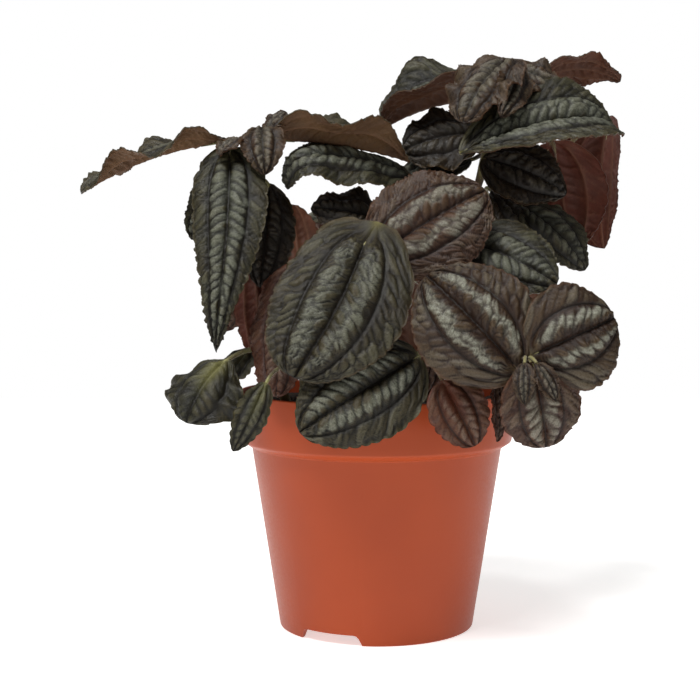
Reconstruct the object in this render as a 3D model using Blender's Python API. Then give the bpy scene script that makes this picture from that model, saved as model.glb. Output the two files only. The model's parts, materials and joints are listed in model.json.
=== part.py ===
"""A friendship plant in its plastic nursery pot.

Ten leafy stems stand in plain holes in the potting mix that fills the pot.
Lengths in the named values below are millimetres, and MM turns them into scene metres.
Places are measured from the middle of the pot's foot: +X right, +Y to the back, +Z up.
POT_PLACE then moves everything so that the middle of the whole plant's box is the origin.
"""

import math

import bmesh
import bpy
import numpy as np

MM = 0.001
POT_PLACE = (4.3, -0.4, 0.0)

# Pot
POT_HEIGHT = 102.6
RIM_TOP_RADIUS = 60.0
RIM_LOW_RADIUS = 59.0
RIM_STEP_HEIGHT = 84.4
RIM_UNDER_HEIGHT = 78.9
RIM_UNDER_RADIUS = 55.6
BODY_TOP_RADIUS = 54.4
BASE_RADIUS = 42.25
WALL = 1.5
FOOT_RING_WIDTH = 2.4
BASE_PLATE_UNDERSIDE = 5.0
BASE_PLATE_TOP = 6.6
POT_SIDES = 34
NOTCH_WIDTH = 28.0
NOTCH_HEIGHT = 4.5
NOTCH_SLOPE = 2.0
NOTCH_TURN = 29.0
DRAIN_HOLES = 8
DRAIN_HOLE_RADIUS = 4.0
DRAIN_HOLE_CIRCLE = 30.0

# Potting mix
GAP = 0.3
SOIL_TOP = 96.5
SOIL_LUMP = 1.3
SOIL_SIDES = 30
SOIL_RINGS = 3
HOLE_DEPTH = 22.0

# Stems and petioles
STEM_RADIUS = 2.3
STEM_SIDES = 8
STEM_STEPS = 6
PETIOLE_RADIUS = 1.15
PETIOLE_END_RADIUS = 0.8
PETIOLE_SIDES = 4
PETIOLE_STEPS = 2

# Leaves
BLADE = 0.9
VEIN_AT = 0.52
RIDGE_AT = 0.27
TOOTH_SHARE = 0.07
PUFF_SHARE = 0.045
SMALL_LEAF = 27.0
HOOK_FROM = 0.62
MIDRIB_STEPS = 121
WAVE_BY_WIDTH = 0.13
WAVE_BETWEEN_SIDES = 1.3
FIRST_ROW = 0.1
PETIOLE_BELOW = 0.29
PETIOLE_ASIDE = 0.17
PETIOLE_REACH = 0.13
PETIOLE_REACH_BELOW = 0.34
PETIOLE_REACH_ASIDE = 0.11
PETIOLE_RISE = 0.35
PETIOLE_LEAVE = 0.4
STEM_TAPER = 0.62


class Leaf:
    """One leaf: its base, tip and width, which way its upper side faces, and how it bends.

    arch bends the midrib evenly and hook curls its last part, fold raises each half from
    the midrib, cup curves the halves further up, twist turns the tip against the base, and
    ruffle is how far the margin waves, in waves for the length, moved on by shift. Angles
    are degrees. lobe is the share of the length by which the blade reaches back past its
    base, full is over 1 where the leaf is widest late, and a smaller blunt rounds the ends.
    """

    def __init__(self, name, base, tip, width, face, at=1.0, arch=30.0, hook=0.0, fold=6.0,
                 cup=-20.0, twist=0.0, ruffle=0.6, waves=2.5, shift=0.0, lobe=0.06, full=0.85,
                 blunt=0.66, rows=6, bend=0.0):
        self.name = name
        self.base = np.array(base, float)
        self.tip = np.array(tip, float)
        self.width = width
        self.face = np.array(face, float)
        self.at = at
        self.arch = math.radians(arch)
        self.hook = math.radians(hook)
        self.fold = math.radians(fold)
        self.cup = math.radians(cup)
        self.twist = math.radians(twist)
        self.ruffle = ruffle
        self.waves = waves
        self.shift = shift
        self.lobe = lobe
        self.full = full
        self.blunt = blunt
        self.rows = rows
        self.bend = bend


class Stem:
    """One leafy stem: the points that it grows through from the soil up, and its leaves."""

    def __init__(self, name, points, leaves, radius=STEM_RADIUS):
        self.name = name
        self.points = np.array(points, float)
        self.leaves = leaves
        self.radius = radius


STEMS = [
    Stem("leafy_stem_tall_left",
         [(-30, -6, 97), (-34, -8, 125), (-44, -13, 160), (-50, -19, 190), (-51, -23, 207)], [
             Leaf("far left", (-66, -22, 209), (-122, -34, 187), 34, (-0.1, 0, 1), at=0.98,
                  arch=26, fold=13, cup=0, ruffle=5, waves=2.0, shift=0.22, blunt=0.5, rows=7),
             Leaf("hanging left", (-61, -31, 203), (-66, -44, 122), 32, (-0.1, -1, 0.1),
                  at=0.95, arch=30, hook=45, cup=-30, rows=7, full=0.5, blunt=0.95, bend=3),
             Leaf("behind hanging", (-62, -12, 196), (-79, -14, 168), 26, (-0.6, -0.8, 0.2),
                  at=0.9, arch=30),
             Leaf("young left", (-54, -27, 208), (-65, -38, 202), 14, (-0.3, -0.4, 0.85),
                  arch=80, ruffle=1.2, rows=5),
             Leaf("young front", (-48, -27, 214), (-46, -40, 194), 19, (0, -0.9, 0.4),
                  arch=90, ruffle=1.2, rows=5),
             Leaf("young right", (-46, -25, 212), (-38, -22, 221), 13, (-0.5, -0.6, 0.6),
                  arch=50, ruffle=1.0, rows=5),
             Leaf("arching right", (-42, -23, 210), (14, -12, 201), 41, (0, 0.05, 1), at=0.97,
                  arch=16, fold=29, cup=0, ruffle=5, waves=1.65, shift=-0.04, rows=7),
             Leaf("brown inner", (-46, -18, 190), (-49, -26, 148), 26, (0.2, -1, 0),
                  at=0.8, arch=30, ruffle=1.2),
         ]),
    Stem("leafy_stem_left_front",
         [(-20, -24, 97), (-20, -28, 125), (-14, -38, 150), (-3, -42, 166)], [
             Leaf("large front", (-6, -54, 166), (-33, -80, 115), 54, (-0.1, -0.95, 0.3),
                  arch=30, cup=-26, lobe=0.24, rows=7, ruffle=1.0, full=0.88, blunt=0.42,
                  bend=3),
             Leaf("brown left", (-35, -39, 156), (-41, -55, 105), 32, (-0.5, -0.85, 0),
                  at=0.6, arch=20, ruffle=1.5, blunt=0.5),
             Leaf("narrow over rim", (-45, -68, 111), (-57, -75, 86), 14, (0.3, -0.9, 0.2),
                  at=0.08, arch=30),
             Leaf("jagged top", (4, -22, 174), (-28, -26, 181), 26, (0.1, -0.8, 0.6),
                  at=0.9, arch=40, ruffle=2.2),
         ]),
    Stem("leafy_stem_low_left",
         [(-38, -20, 97), (-42, -26, 112), (-46, -33, 122)], [
             Leaf("wilted", (-62, -53, 119), (-76, -66, 96), 38, (-0.35, -0.8, 0.45),
                  arch=50, cup=-45, lobe=0.1, ruffle=2.0, waves=3.5, rows=7, full=1.2,
                  blunt=0.55),
             Leaf("dark low", (-53, -38, 123), (-62, -45, 109), 15, (-0.4, -0.8, 0.4), at=0.9,
                  arch=30, rows=5),
         ]),
    Stem("leafy_stem_centre",
         [(4, -8, 97), (4, -12, 130), (8, -26, 158), (10, -38, 172)], [
             Leaf("brown and silver", (2, -45, 163), (44, -35, 188), 49, (0, -0.9, 0.5),
                  arch=30, cup=-24, rows=7, ruffle=1.4, lobe=0.14, blunt=0.5),
             Leaf("curled dark", (14, -8, 195.5), (-38, -24, 189), 32, (0, -0.6, 0.8),
                  at=0.97, arch=30, hook=100, cup=-35, rows=7, ruffle=1.5),
             Leaf("green behind", (32, -30, 168), (72, -46, 150), 40, (0.1, -0.8, 0.6),
                  at=0.8, arch=35, blunt=0.55),
         ]),
    Stem("leafy_stem_low_front",
         [(14, -34, 97), (16, -42, 114), (18, -52, 126)], [
             Leaf("bottom front", (14, -61, 121), (-31, -80, 94), 43, (0.1, -0.95, 0.35),
                  arch=30, cup=-24, rows=7, ruffle=1.0, blunt=0.52),
             Leaf("pink small", (25, -71, 112), (37, -74, 88), 24, (0, -1, 0.2), at=0.8,
                  arch=35, fold=12, blunt=0.5),
             Leaf("dark small", (22, -55, 126), (17, -62, 105), 12, (0.4, -0.9, 0.2),
                  arch=20, rows=5),
             Leaf("narrow dark", (46, -66, 114), (46, -70, 89), 10, (0.6, -0.8, 0.1), at=0.8,
                  arch=20, fold=20, rows=5),
         ]),
    Stem("leafy_stem_low_right",
         [(34, -24, 97), (38, -34, 112), (48, -58, 122), (56, -76, 122)], [
             Leaf("silver left", (51, -82, 120), (18, -68, 154), 49, (-0.1, -0.95, 0.3),
                  arch=40, cup=-24, rows=7, ruffle=0.8, lobe=0.1, blunt=0.52),
             Leaf("silver right", (60, -82, 125), (90, -76, 138), 43, (0.1, -0.98, 0.1),
                  arch=60, cup=-24, rows=7, ruffle=0.8, lobe=0.14, blunt=0.48),
             Leaf("silver low", (58, -84, 120), (64, -78, 88), 33, (0.1, -0.98, 0.1),
                  arch=40, cup=-24, full=1.0, blunt=0.48),
             Leaf("young low left", (54, -88, 121), (54, -92, 106), 9, (-0.3, -0.9, 0.3),
                  arch=40, rows=5),
             Leaf("young low right", (59, -88, 121), (66, -91, 107), 10, (0.2, -0.9, 0.3),
                  arch=40, rows=5),
         ]),
    Stem("leafy_stem_tall_right",
         [(24, 8, 97), (28, 6, 130), (36, 2, 165), (46, -2, 200), (54, -2, 234)], [
             Leaf("long silver", (37, -26, 205), (100, -12, 214), 48, (0, -0.62, 0.78),
                  at=0.82, arch=32, hook=25, fold=27, cup=-18, rows=7, full=1.4, blunt=0.46),
             Leaf("top right", (73, 12, 239), (108, 17, 238), 24, (0, 0.45, 0.9), arch=68,
                  cup=-10, ruffle=2.0, waves=2.2, blunt=0.55),
             Leaf("young front", (56, -8, 244), (35, -28, 216), 32, (-0.4, -0.7, 0.6),
                  arch=50, fold=10, ruffle=2.6, waves=3.5, rows=7, blunt=0.5),
             Leaf("young mid", (60, -9, 241), (50, -34, 218), 17, (0.3, -0.9, 0.3),
                  arch=30, fold=12, ruffle=2.0),
             Leaf("young back", (58, -4, 240), (77, -8, 231), 22, (0.2, -0.8, 0.6),
                  arch=60, ruffle=2.0, rows=5),
             Leaf("top left", (46, 14, 230), (3, 16, 217), 50, (-0.1, -0.3, 0.95), arch=30,
                  fold=46, cup=-10, ruffle=3, waves=1.7, shift=0.1, rows=7, full=0.95,
                  blunt=0.5),
             Leaf("dark crinkled", (42, 3, 214), (11, 2, 206), 34, (0, -0.8, 0.6),
                  at=0.86, arch=40, ruffle=2.2, blunt=0.55),
             Leaf("dark under", (46, -10, 202), (80, -14, 187), 34, (0.2, -0.8, 0.5),
                  at=0.75, arch=40),
             Leaf("grey centre", (40, 4, 203), (9, 8, 195), 28, (0, -0.6, 0.8), at=0.78,
                  arch=35),
         ]),
    Stem("leafy_stem_right_back",
         [(36, 24, 97), (46, 26, 130), (62, 24, 170), (74, 24, 196)], [
             Leaf("red hanging right", (103, 22, 220), (104, 34, 164), 48, (-0.5, 0.86, 0.1),
                  arch=26, fold=32, cup=-5, rows=7, blunt=0.6),
             Leaf("dark hanging", (78, 11, 209), (87, 16, 163), 41, (0.1, 1, 0.2), at=0.9,
                  arch=25, blunt=0.55),
             Leaf("serrated right", (62, -8, 182), (88, -16, 155), 34, (0.4, -0.7, 0.6),
                  at=0.7, arch=40),
             Leaf("strip", (50, -9, 188), (68, -18, 160), 24, (0.5, -0.6, 0.6), at=0.6,
                  arch=30),
             Leaf("right back low", (60, 42, 148), (80, 70, 110), 40, (0.5, 0.8, 0.2),
                  at=0.5, arch=35, rows=4),
             Leaf("right back mid", (70, 36, 182), (68, 80, 172), 38, (0.1, 0.5, 0.85),
                  at=0.9, arch=50, rows=4),
         ]),
    Stem("leafy_stem_left_back",
         [(-24, 20, 97), (-30, 26, 130), (-36, 32, 160), (-36, 36, 172)], [
             Leaf("orange lit", (-34, 20, 154), (-38, 28, 184), 22, (0, 1, 0.2), at=0.35,
                  blunt=0.5),
             Leaf("red hanging", (-52, -20, 161), (-50, -22, 114), 24, (0.25, 0.95, 0.1),
                  at=0.5, arch=20, fold=14, cup=0),
             Leaf("brown bit", (-58, 8, 148), (-66, 4, 128), 18, (-0.4, -0.8, 0.3), at=0.5,
                  rows=5),
             Leaf("left back side", (-46, 38, 166), (-74, 52, 138), 38, (-0.6, 0.6, 0.5),
                  arch=40, rows=4),
             Leaf("left back low", (-38, 40, 140), (-50, 70, 106), 38, (-0.4, 0.85, 0.2),
                  at=0.5, arch=35, rows=4),
             Leaf("left back top", (-34, 44, 176), (-26, 84, 172), 36, (0, 0.2, 1),
                  arch=50, rows=4),
         ]),
    Stem("leafy_stem_back",
         [(4, 34, 97), (6, 44, 130), (10, 50, 165)], [
             Leaf("back high", (12, 58, 168), (22, 94, 152), 40, (0, 0.5, 0.85), arch=45,
                  rows=4),
             Leaf("back left", (2, 58, 156), (-16, 90, 126), 42, (-0.3, 0.9, 0.4), at=0.85,
                  arch=40, rows=4),
             Leaf("back right", (18, 58, 150), (40, 92, 122), 40, (0.3, 0.9, 0.4), at=0.75,
                  arch=40, rows=4),
             Leaf("back low", (8, 60, 134), (8, 82, 96), 36, (0, 0.95, 0.2), at=0.5,
                  arch=35, rows=4),
             Leaf("back inner", (6, 42, 176), (-16, 26, 188), 28, (-0.1, -0.3, 0.9),
                  arch=40, rows=5),
         ]),
]


def unit(vector):
    """The vector at length 1."""
    return vector / np.linalg.norm(vector)


def smooth_step(share):
    """0 to 1 with flat ends."""
    share = np.clip(share, 0.0, 1.0)
    return share * share * (3.0 - 2.0 * share)


def midrib(leaf, shares):
    """Points, tangents, upper-side and side directions of the midrib at shares of its length."""
    fine = np.linspace(0.0, 1.0, MIDRIB_STEPS)
    hooked = smooth_step((fine - HOOK_FROM) / (1.0 - HOOK_FROM))
    turn = leaf.arch * (0.5 - fine) - leaf.hook * hooked
    step = fine[1]
    ahead = np.concatenate([[0.0], np.cumsum((np.cos(turn[1:]) + np.cos(turn[:-1])) * step / 2)])
    rise = np.concatenate([[0.0], np.cumsum((np.sin(turn[1:]) + np.sin(turn[:-1])) * step / 2)])
    lean = math.atan2(rise[-1], ahead[-1])
    chord = leaf.tip - leaf.base
    scale = np.linalg.norm(chord) / math.hypot(ahead[-1], rise[-1])
    along = unit(chord)
    face = unit(leaf.face - along * np.dot(leaf.face, along))
    side = np.cross(face, along)
    forward = (ahead * math.cos(lean) + rise * math.sin(lean)) * scale
    height = (rise * math.cos(lean) - ahead * math.sin(lean)) * scale
    forward = np.interp(shares, fine, forward)[:, None]
    height = np.interp(shares, fine, height)[:, None]
    angle = (np.interp(shares, fine, turn) - lean)[:, None]
    sway = leaf.bend * np.sin(np.pi * np.asarray(shares))[:, None]
    points = leaf.base + along * forward + face * height + side * sway
    tangents = along * np.cos(angle) + face * np.sin(angle)
    upper = face * np.cos(angle) - along * np.sin(angle)
    turned = (leaf.twist * (np.asarray(shares) - 0.5))[:, None]
    across = side * np.cos(turned) + upper * np.sin(turned)
    upper = upper * np.cos(turned) - side * np.sin(turned)
    return points, tangents, upper, across


def half_width(leaf, share):
    """Half the blade's width at a share of its length."""
    return leaf.width / 2.0 * np.sin(np.pi * share ** leaf.full) ** leaf.blunt


def blade(leaf, shares, across_shares):
    """Blade points and their upper-side directions, one for each pair of length and width share."""
    points, tangents, upper, side = midrib(leaf, shares)
    length = np.linalg.norm(leaf.tip - leaf.base)
    half = half_width(leaf, np.clip(shares, 0.0, 1.0))
    reach = np.abs(across_shares)
    sign = np.sign(across_shares)
    slope = leaf.fold + leaf.cup * reach
    mean_slope = leaf.fold + leaf.cup * reach / 2.0
    out = half * reach * np.cos(mean_slope)
    lift = half * reach * np.sin(mean_slope)
    turns = leaf.waves * shares + leaf.shift + WAVE_BY_WIDTH * leaf.width
    wave = np.sin(2.0 * np.pi * turns + WAVE_BETWEEN_SIDES * sign)
    lift = lift + leaf.ruffle * wave * reach ** 2 * np.sin(np.pi * np.clip(shares, 0, 1)) ** 0.5
    lane = np.where(reach < VEIN_AT, np.sin(np.pi * reach / VEIN_AT), 0.0)
    lift = lift + PUFF_SHARE * half * 2.0 * lane
    back = leaf.lobe * length * reach ** 1.5 * (1.0 - shares) ** 4
    place = points + side * (out * sign)[:, None] + upper * lift[:, None] - tangents * back[:, None]
    normal = upper * np.cos(slope)[:, None] - side * (np.sin(slope) * sign)[:, None]
    return place, normal


def blade_grid(leaf):
    """Shares of length and width for the coarse blade, and its triangles, seen from above."""
    stations = [-VEIN_AT, -RIDGE_AT, 0.0, RIDGE_AT, VEIN_AT]
    if leaf.width < SMALL_LEAF:
        stations = [-VEIN_AT, 0.0, VEIN_AT]
    columns = len(stations) + 2
    shares = []
    across = []
    rows = []
    count = leaf.rows
    for row in range(count + 1):
        if row in (0, count):
            rows.append([len(shares)] * columns)
            shares.append(row / count)
            across.append(0.0)
            continue
        turn = math.pi * (FIRST_ROW + (1.0 - FIRST_ROW) * row / count)
        along = 0.5 - 0.5 * math.cos(turn)
        first = len(shares)
        rows.append(list(range(first, first + columns)))
        for station in [-1.0 + TOOTH_SHARE] + stations + [1.0 - TOOTH_SHARE]:
            shares.append(along)
            across.append(station)
    faces = []
    for row in range(count):
        low = rows[row]
        high = rows[row + 1]
        middle = (shares[low[0]] + shares[high[0]]) / 2.0
        left = len(shares)
        right = left + 1
        shares += [middle, middle]
        across += [-1.0, 1.0]
        for column in range(1, columns - 2):
            faces.append((low[column], high[column + 1], low[column + 1]))
            faces.append((low[column], high[column], high[column + 1]))
        faces += [(low[1], low[0], left), (low[1], left, high[1]), (high[1], left, high[0])]
        faces += [(low[-2], right, low[-1]), (low[-2], high[-2], right), (high[-2], high[-1], right)]
    faces = [face for face in faces if len(set(face)) == 3]
    return np.array(shares), np.array(across), faces


def blade_mesh(leaf):
    """A closed blade: the upper face, the same triangles again below, and a band round the margin."""
    shares, across, faces = blade_grid(leaf)
    place, normal = blade(leaf, shares, across)
    count = len(shares)
    points = np.concatenate([place + normal * BLADE / 2.0, place - normal * BLADE / 2.0])
    used = {}
    for face in faces:
        for start, end in zip(face, face[1:] + face[:1]):
            used[(start, end)] = True
    band = [edge for edge in used if (edge[1], edge[0]) not in used]
    triangles = list(faces)
    triangles += [(a + count, c + count, b + count) for a, b, c in faces]
    for start, end in band:
        triangles.append((start, start + count, end + count))
        triangles.append((start, end + count, end))
    return points, triangles


def curve_through(points, steps):
    """Points on a smooth curve through the given ones."""
    points = np.asarray(points, float)
    ends = np.concatenate([[2 * points[0] - points[1]], points, [2 * points[-1] - points[-2]]])
    result = []
    spans = len(points) - 1
    for step in range(steps + 1):
        place = spans * step / steps
        span = min(int(place), spans - 1)
        u = place - span
        a, b, c, d = ends[span:span + 4]
        result.append(0.5 * (2 * b + (c - a) * u + (2 * a - 5 * b + 4 * c - d) * u * u
                             + (3 * b - a - 3 * c + d) * u ** 3))
    return np.array(result)


def tube(points, radii, sides):
    """A closed tube of rings square to its path."""
    points = np.asarray(points, float)
    tangents = np.gradient(points, axis=0)
    ahead = unit(tangents[0])
    normal = unit(np.cross(ahead, (0.31, 0.83, 0.47)))
    rings = []
    for point, tangent, radius in zip(points, tangents, radii):
        tangent = unit(tangent)
        normal = unit(normal - tangent * np.dot(normal, tangent))
        other = np.cross(tangent, normal)
        turns = [2 * math.pi * side / sides for side in range(sides)]
        rings.append([point + radius * (normal * math.cos(a) + other * math.sin(a)) for a in turns])
    vertices = [vertex for ring in rings for vertex in ring]
    triangles = []
    for ring in range(len(rings) - 1):
        for side in range(sides):
            a = ring * sides + side
            b = ring * sides + (side + 1) % sides
            triangles += [(a, b, b + sides), (a, b + sides, a + sides)]
    last = (len(rings) - 1) * sides
    for side in range(1, sides - 1):
        triangles.append((0, side + 1, side))
        triangles.append((last, last + side, last + side + 1))
    return np.array(vertices), triangles


def stem_path(stem):
    """The stem's centre line, which starts straight up out of its hole in the potting mix."""
    above = curve_through(stem.points, STEM_STEPS)
    root = stem.points[0]
    foot = np.array([[root[0], root[1], root[2] - HOLE_DEPTH + GAP], [root[0], root[1], root[2]]])
    return np.concatenate([foot, above[1:]])


def petiole_path(stem, leaf):
    """From the stem's middle out to the leaf's base, then on under the midrib."""
    path = curve_through(stem.points, 60)
    start = path[int(round(leaf.at * 60))]
    ribs, tangents, upper, side = midrib(leaf, np.array([0.0, PETIOLE_REACH]))
    end = ribs[0] - upper[0] * PETIOLE_BELOW + side[0] * PETIOLE_ASIDE
    reach = np.linalg.norm(end - start)
    rise = np.array([0.0, 0.0, PETIOLE_RISE * reach])
    leave = start + unit(end - start + rise) * reach * PETIOLE_LEAVE
    arrive = end - tangents[0] * reach * PETIOLE_RISE
    points = []
    for step in range(PETIOLE_STEPS + 1):
        u = step / PETIOLE_STEPS
        points.append(start * (1 - u) ** 3 + leave * 3 * u * (1 - u) ** 2
                      + arrive * 3 * u * u * (1 - u) + end * u ** 3)
    points.append(ribs[1] - upper[1] * PETIOLE_REACH_BELOW + side[1] * PETIOLE_REACH_ASIDE)
    return np.array(points)


def mesh_object(name, points, triangles, collection=None):
    """A mesh object from points in millimetres, moved to the pot's place."""
    mesh = bpy.data.meshes.new(name)
    placed = (np.asarray(points) + np.array(POT_PLACE)) * MM
    mesh.from_pydata([tuple(point) for point in placed], [], [tuple(face) for face in triangles])
    mesh.update()
    made = bpy.data.objects.new(name, mesh)
    (collection or bpy.context.scene.collection).objects.link(made)
    return made


def material(name, colour, roughness):
    """A plain Principled material."""
    made = bpy.data.materials.new(name)
    made.use_nodes = True
    shader = made.node_tree.nodes["Principled BSDF"]
    shader.inputs["Base Color"].default_value = (*colour, 1.0)
    shader.inputs["Roughness"].default_value = roughness
    shader.inputs["Metallic"].default_value = 0.0
    return made


def apply_modifiers(made):
    """Replace the mesh with what its modifiers make of it."""
    graph = bpy.context.evaluated_depsgraph_get()
    mesh = bpy.data.meshes.new_from_object(made.evaluated_get(graph))
    made.modifiers.clear()
    made.data = mesh


def combine(target, operation, collection):
    """One exact Boolean of everything in the collection, which is then removed."""
    modifier = target.modifiers.new(operation.lower(), "BOOLEAN")
    modifier.operation = operation
    modifier.solver = "EXACT"
    modifier.operand_type = "COLLECTION"
    modifier.collection = collection
    bpy.context.view_layer.update()
    apply_modifiers(target)
    for helper in list(collection.objects):
        bpy.data.objects.remove(helper)
    bpy.data.collections.remove(collection)


def helpers(name):
    """A collection for the pieces of one Boolean."""
    made = bpy.data.collections.new(name)
    bpy.context.scene.collection.children.link(made)
    return made


def pot_profile():
    """Outer side from the foot up, over the rim and down the inner side, as radius and height."""
    inner_foot = BASE_RADIUS - FOOT_RING_WIDTH
    lean = (BODY_TOP_RADIUS - BASE_RADIUS) / RIM_UNDER_HEIGHT
    plate_outer = BASE_RADIUS + lean * BASE_PLATE_TOP
    return [
        (0.0, BASE_PLATE_UNDERSIDE),
        (inner_foot - 1.0, BASE_PLATE_UNDERSIDE),
        (inner_foot, 0.0),
        (BASE_RADIUS - 0.5, 0.0),
        (BASE_RADIUS + 0.1, 0.8),
        (BODY_TOP_RADIUS, RIM_UNDER_HEIGHT),
        (RIM_UNDER_RADIUS + 1.2, RIM_UNDER_HEIGHT + 0.6),
        (RIM_LOW_RADIUS - 0.6, RIM_UNDER_HEIGHT + 3.0),
        (RIM_LOW_RADIUS, RIM_STEP_HEIGHT),
        (RIM_TOP_RADIUS, POT_HEIGHT - 0.7),
        (RIM_TOP_RADIUS - 0.7, POT_HEIGHT),
        (RIM_TOP_RADIUS - WALL, POT_HEIGHT),
        (RIM_LOW_RADIUS - WALL, RIM_STEP_HEIGHT + 1.0),
        (BODY_TOP_RADIUS - WALL, RIM_UNDER_HEIGHT),
        (plate_outer - WALL, BASE_PLATE_TOP),
        (0.0, BASE_PLATE_TOP),
    ]


def turned(name, profile, sides, shift=None):
    """A solid of revolution whose first and last profile points are on the axis."""
    rings = profile[1:-1]
    points = [(0.0, 0.0, profile[0][1])]
    for radius, height in rings:
        for side in range(sides):
            turn = 2 * math.pi * (side + 0.5) / sides
            points.append((radius * math.cos(turn), radius * math.sin(turn), height))
    points.append((0.0, 0.0, profile[-1][1]))
    if shift:
        points = [shift(point) for point in points]
    last = len(points) - 1
    triangles = []
    for side in range(sides):
        after = (side + 1) % sides
        triangles.append((0, 1 + after, 1 + side))
        base = 1 + (len(rings) - 1) * sides
        triangles.append((base + side, base + after, last))
        for ring in range(len(rings) - 1):
            a = 1 + ring * sides + side
            b = 1 + ring * sides + after
            triangles += [(a, b, b + sides), (a, b + sides, a + sides)]
    return mesh_object(name, points, triangles)


def pot():
    """The pot, with its foot notches and drainage holes cut."""
    made = turned("pot", pot_profile(), POT_SIDES)
    cuts = helpers("pot_cuts")
    for turn in (NOTCH_TURN, NOTCH_TURN + 180.0):
        half = NOTCH_WIDTH / 2.0
        outline = []
        for slopes, height in ((-0.5, -1.0), (0.4, NOTCH_HEIGHT * 0.75), (1.4, NOTCH_HEIGHT)):
            outline.insert(0, (-half + NOTCH_SLOPE * slopes, height))
            outline.append((half - NOTCH_SLOPE * slopes, height))
        angle = math.radians(-90.0 - turn)
        ahead = np.array([math.cos(angle), math.sin(angle), 0.0])
        right = np.array([-math.sin(angle), math.cos(angle), 0.0])
        points = []
        for reach in (BASE_RADIUS - 14.0, BASE_RADIUS + 8.0):
            points += [ahead * reach + right * x + np.array([0.0, 0.0, z]) for x, z in outline]
        count = len(outline)
        triangles = []
        for index in range(count):
            after = (index + 1) % count
            triangles += [(index, after, after + count), (index, after + count, index + count)]
        for index in range(1, count - 1):
            triangles.append((0, index + 1, index))
            triangles.append((count, count + index, count + index + 1))
        cutter = mesh_object("notch", points, triangles, cuts)
        face_outwards(cutter)
    for hole in range(DRAIN_HOLES):
        turn = 2 * math.pi * (hole + 0.5) / DRAIN_HOLES
        centre = np.array([math.cos(turn), math.sin(turn), 0.0]) * DRAIN_HOLE_CIRCLE
        low = centre + np.array([0.0, 0.0, BASE_PLATE_UNDERSIDE - 2.0])
        high = centre + np.array([0.0, 0.0, BASE_PLATE_TOP + 2.0])
        points, triangles = tube([low, high], [DRAIN_HOLE_RADIUS] * 2, 12)
        face_outwards(mesh_object("drain", points, triangles, cuts))
    combine(made, "DIFFERENCE", cuts)
    made.data.materials.append(material("terracotta_plastic", (0.45, 0.093, 0.045), 0.4))
    made.data.shade_smooth()
    made.data.set_sharp_from_angle(angle=math.radians(35.0))
    return made


def face_outwards(made):
    """Turn a closed mesh's faces outwards."""
    work = bmesh.new()
    work.from_mesh(made.data)
    bmesh.ops.recalc_face_normals(work, faces=work.faces)
    work.to_mesh(made.data)
    work.free()


def lump(x, y):
    """How far the potting mix's top stands above or below its level."""
    broad = math.sin(0.19 * x + 0.7) * math.cos(0.23 * y)
    narrow = math.sin(0.41 * x - 0.37 * y)
    return SOIL_LUMP * (broad + 0.5 * narrow)


def soil():
    """The potting mix, with a plain hole for each stem."""
    lean = (BODY_TOP_RADIUS - BASE_RADIUS) / RIM_UNDER_HEIGHT
    clear = WALL + GAP
    low = BASE_PLATE_TOP + GAP
    rim_lean = (RIM_TOP_RADIUS - RIM_LOW_RADIUS) / (POT_HEIGHT - RIM_STEP_HEIGHT)
    edge = RIM_LOW_RADIUS - clear + rim_lean * (SOIL_TOP - RIM_STEP_HEIGHT) - 0.3
    profile = [(0.0, low), (BASE_RADIUS + lean * low - clear - 0.1, low),
               (BODY_TOP_RADIUS - clear - 0.2, RIM_UNDER_HEIGHT),
               (RIM_LOW_RADIUS - clear - 0.4, RIM_STEP_HEIGHT + 1.4),
               (edge, SOIL_TOP - 1.5)]
    for ring in range(1, SOIL_RINGS):
        profile.append((edge * (1.0 - ring / SOIL_RINGS), SOIL_TOP))
    profile.append((0.0, SOIL_TOP))

    def heap(point):
        x, y, z = point
        if z < SOIL_TOP - 0.1:
            return point
        return (x, y, z + lump(x, y))

    made = turned("potting_mix", profile, SOIL_SIDES, heap)
    holes = helpers("stem_holes")
    for stem in STEMS:
        root = stem.points[0]
        radius = (stem.radius + GAP) / math.cos(math.pi / STEM_SIDES)
        path = [(root[0], root[1], root[2] - HOLE_DEPTH), (root[0], root[1], SOIL_TOP + 6.0)]
        points, triangles = tube(path, [radius] * 2, STEM_SIDES)
        face_outwards(mesh_object("stem_hole", points, triangles, holes))
    combine(made, "DIFFERENCE", holes)
    made.data.materials.append(material("peat", (0.012, 0.009, 0.007), 0.95))
    return made


def leafy_stem(stem):
    """One stem with its petioles and leaves, joined into one solid."""
    path = stem_path(stem)
    tapered = np.linspace(stem.radius, stem.radius * STEM_TAPER, len(path) - 2)
    radii = [stem.radius] * 2 + list(tapered)
    points, triangles = tube(path, radii, STEM_SIDES)
    made = mesh_object(stem.name, points, triangles)
    face_outwards(made)
    grown = helpers(stem.name + "_leaves")
    for leaf in stem.leaves:
        path = petiole_path(stem, leaf)
        radii = np.linspace(PETIOLE_RADIUS, PETIOLE_END_RADIUS, len(path))
        points, triangles = tube(path, radii, PETIOLE_SIDES)
        face_outwards(mesh_object("petiole", points, triangles, grown))
        points, triangles = blade_mesh(leaf)
        face_outwards(mesh_object("blade", points, triangles, grown))
    combine(made, "UNION", grown)
    made.data.materials.append(material("leaf_" + stem.name, (0.06, 0.062, 0.045), 0.5))
    made.data.shade_smooth()
    made.data.set_sharp_from_angle(angle=math.radians(50.0))
    return made


def main():
    """Clear the scene and model every piece."""
    for made in list(bpy.data.objects):
        bpy.data.objects.remove(made)
    pot()
    soil()
    for stem in STEMS:
        leafy_stem(stem)


if __name__ == "__main__":
    main()
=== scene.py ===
import json
import math
from dataclasses import dataclass

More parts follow.
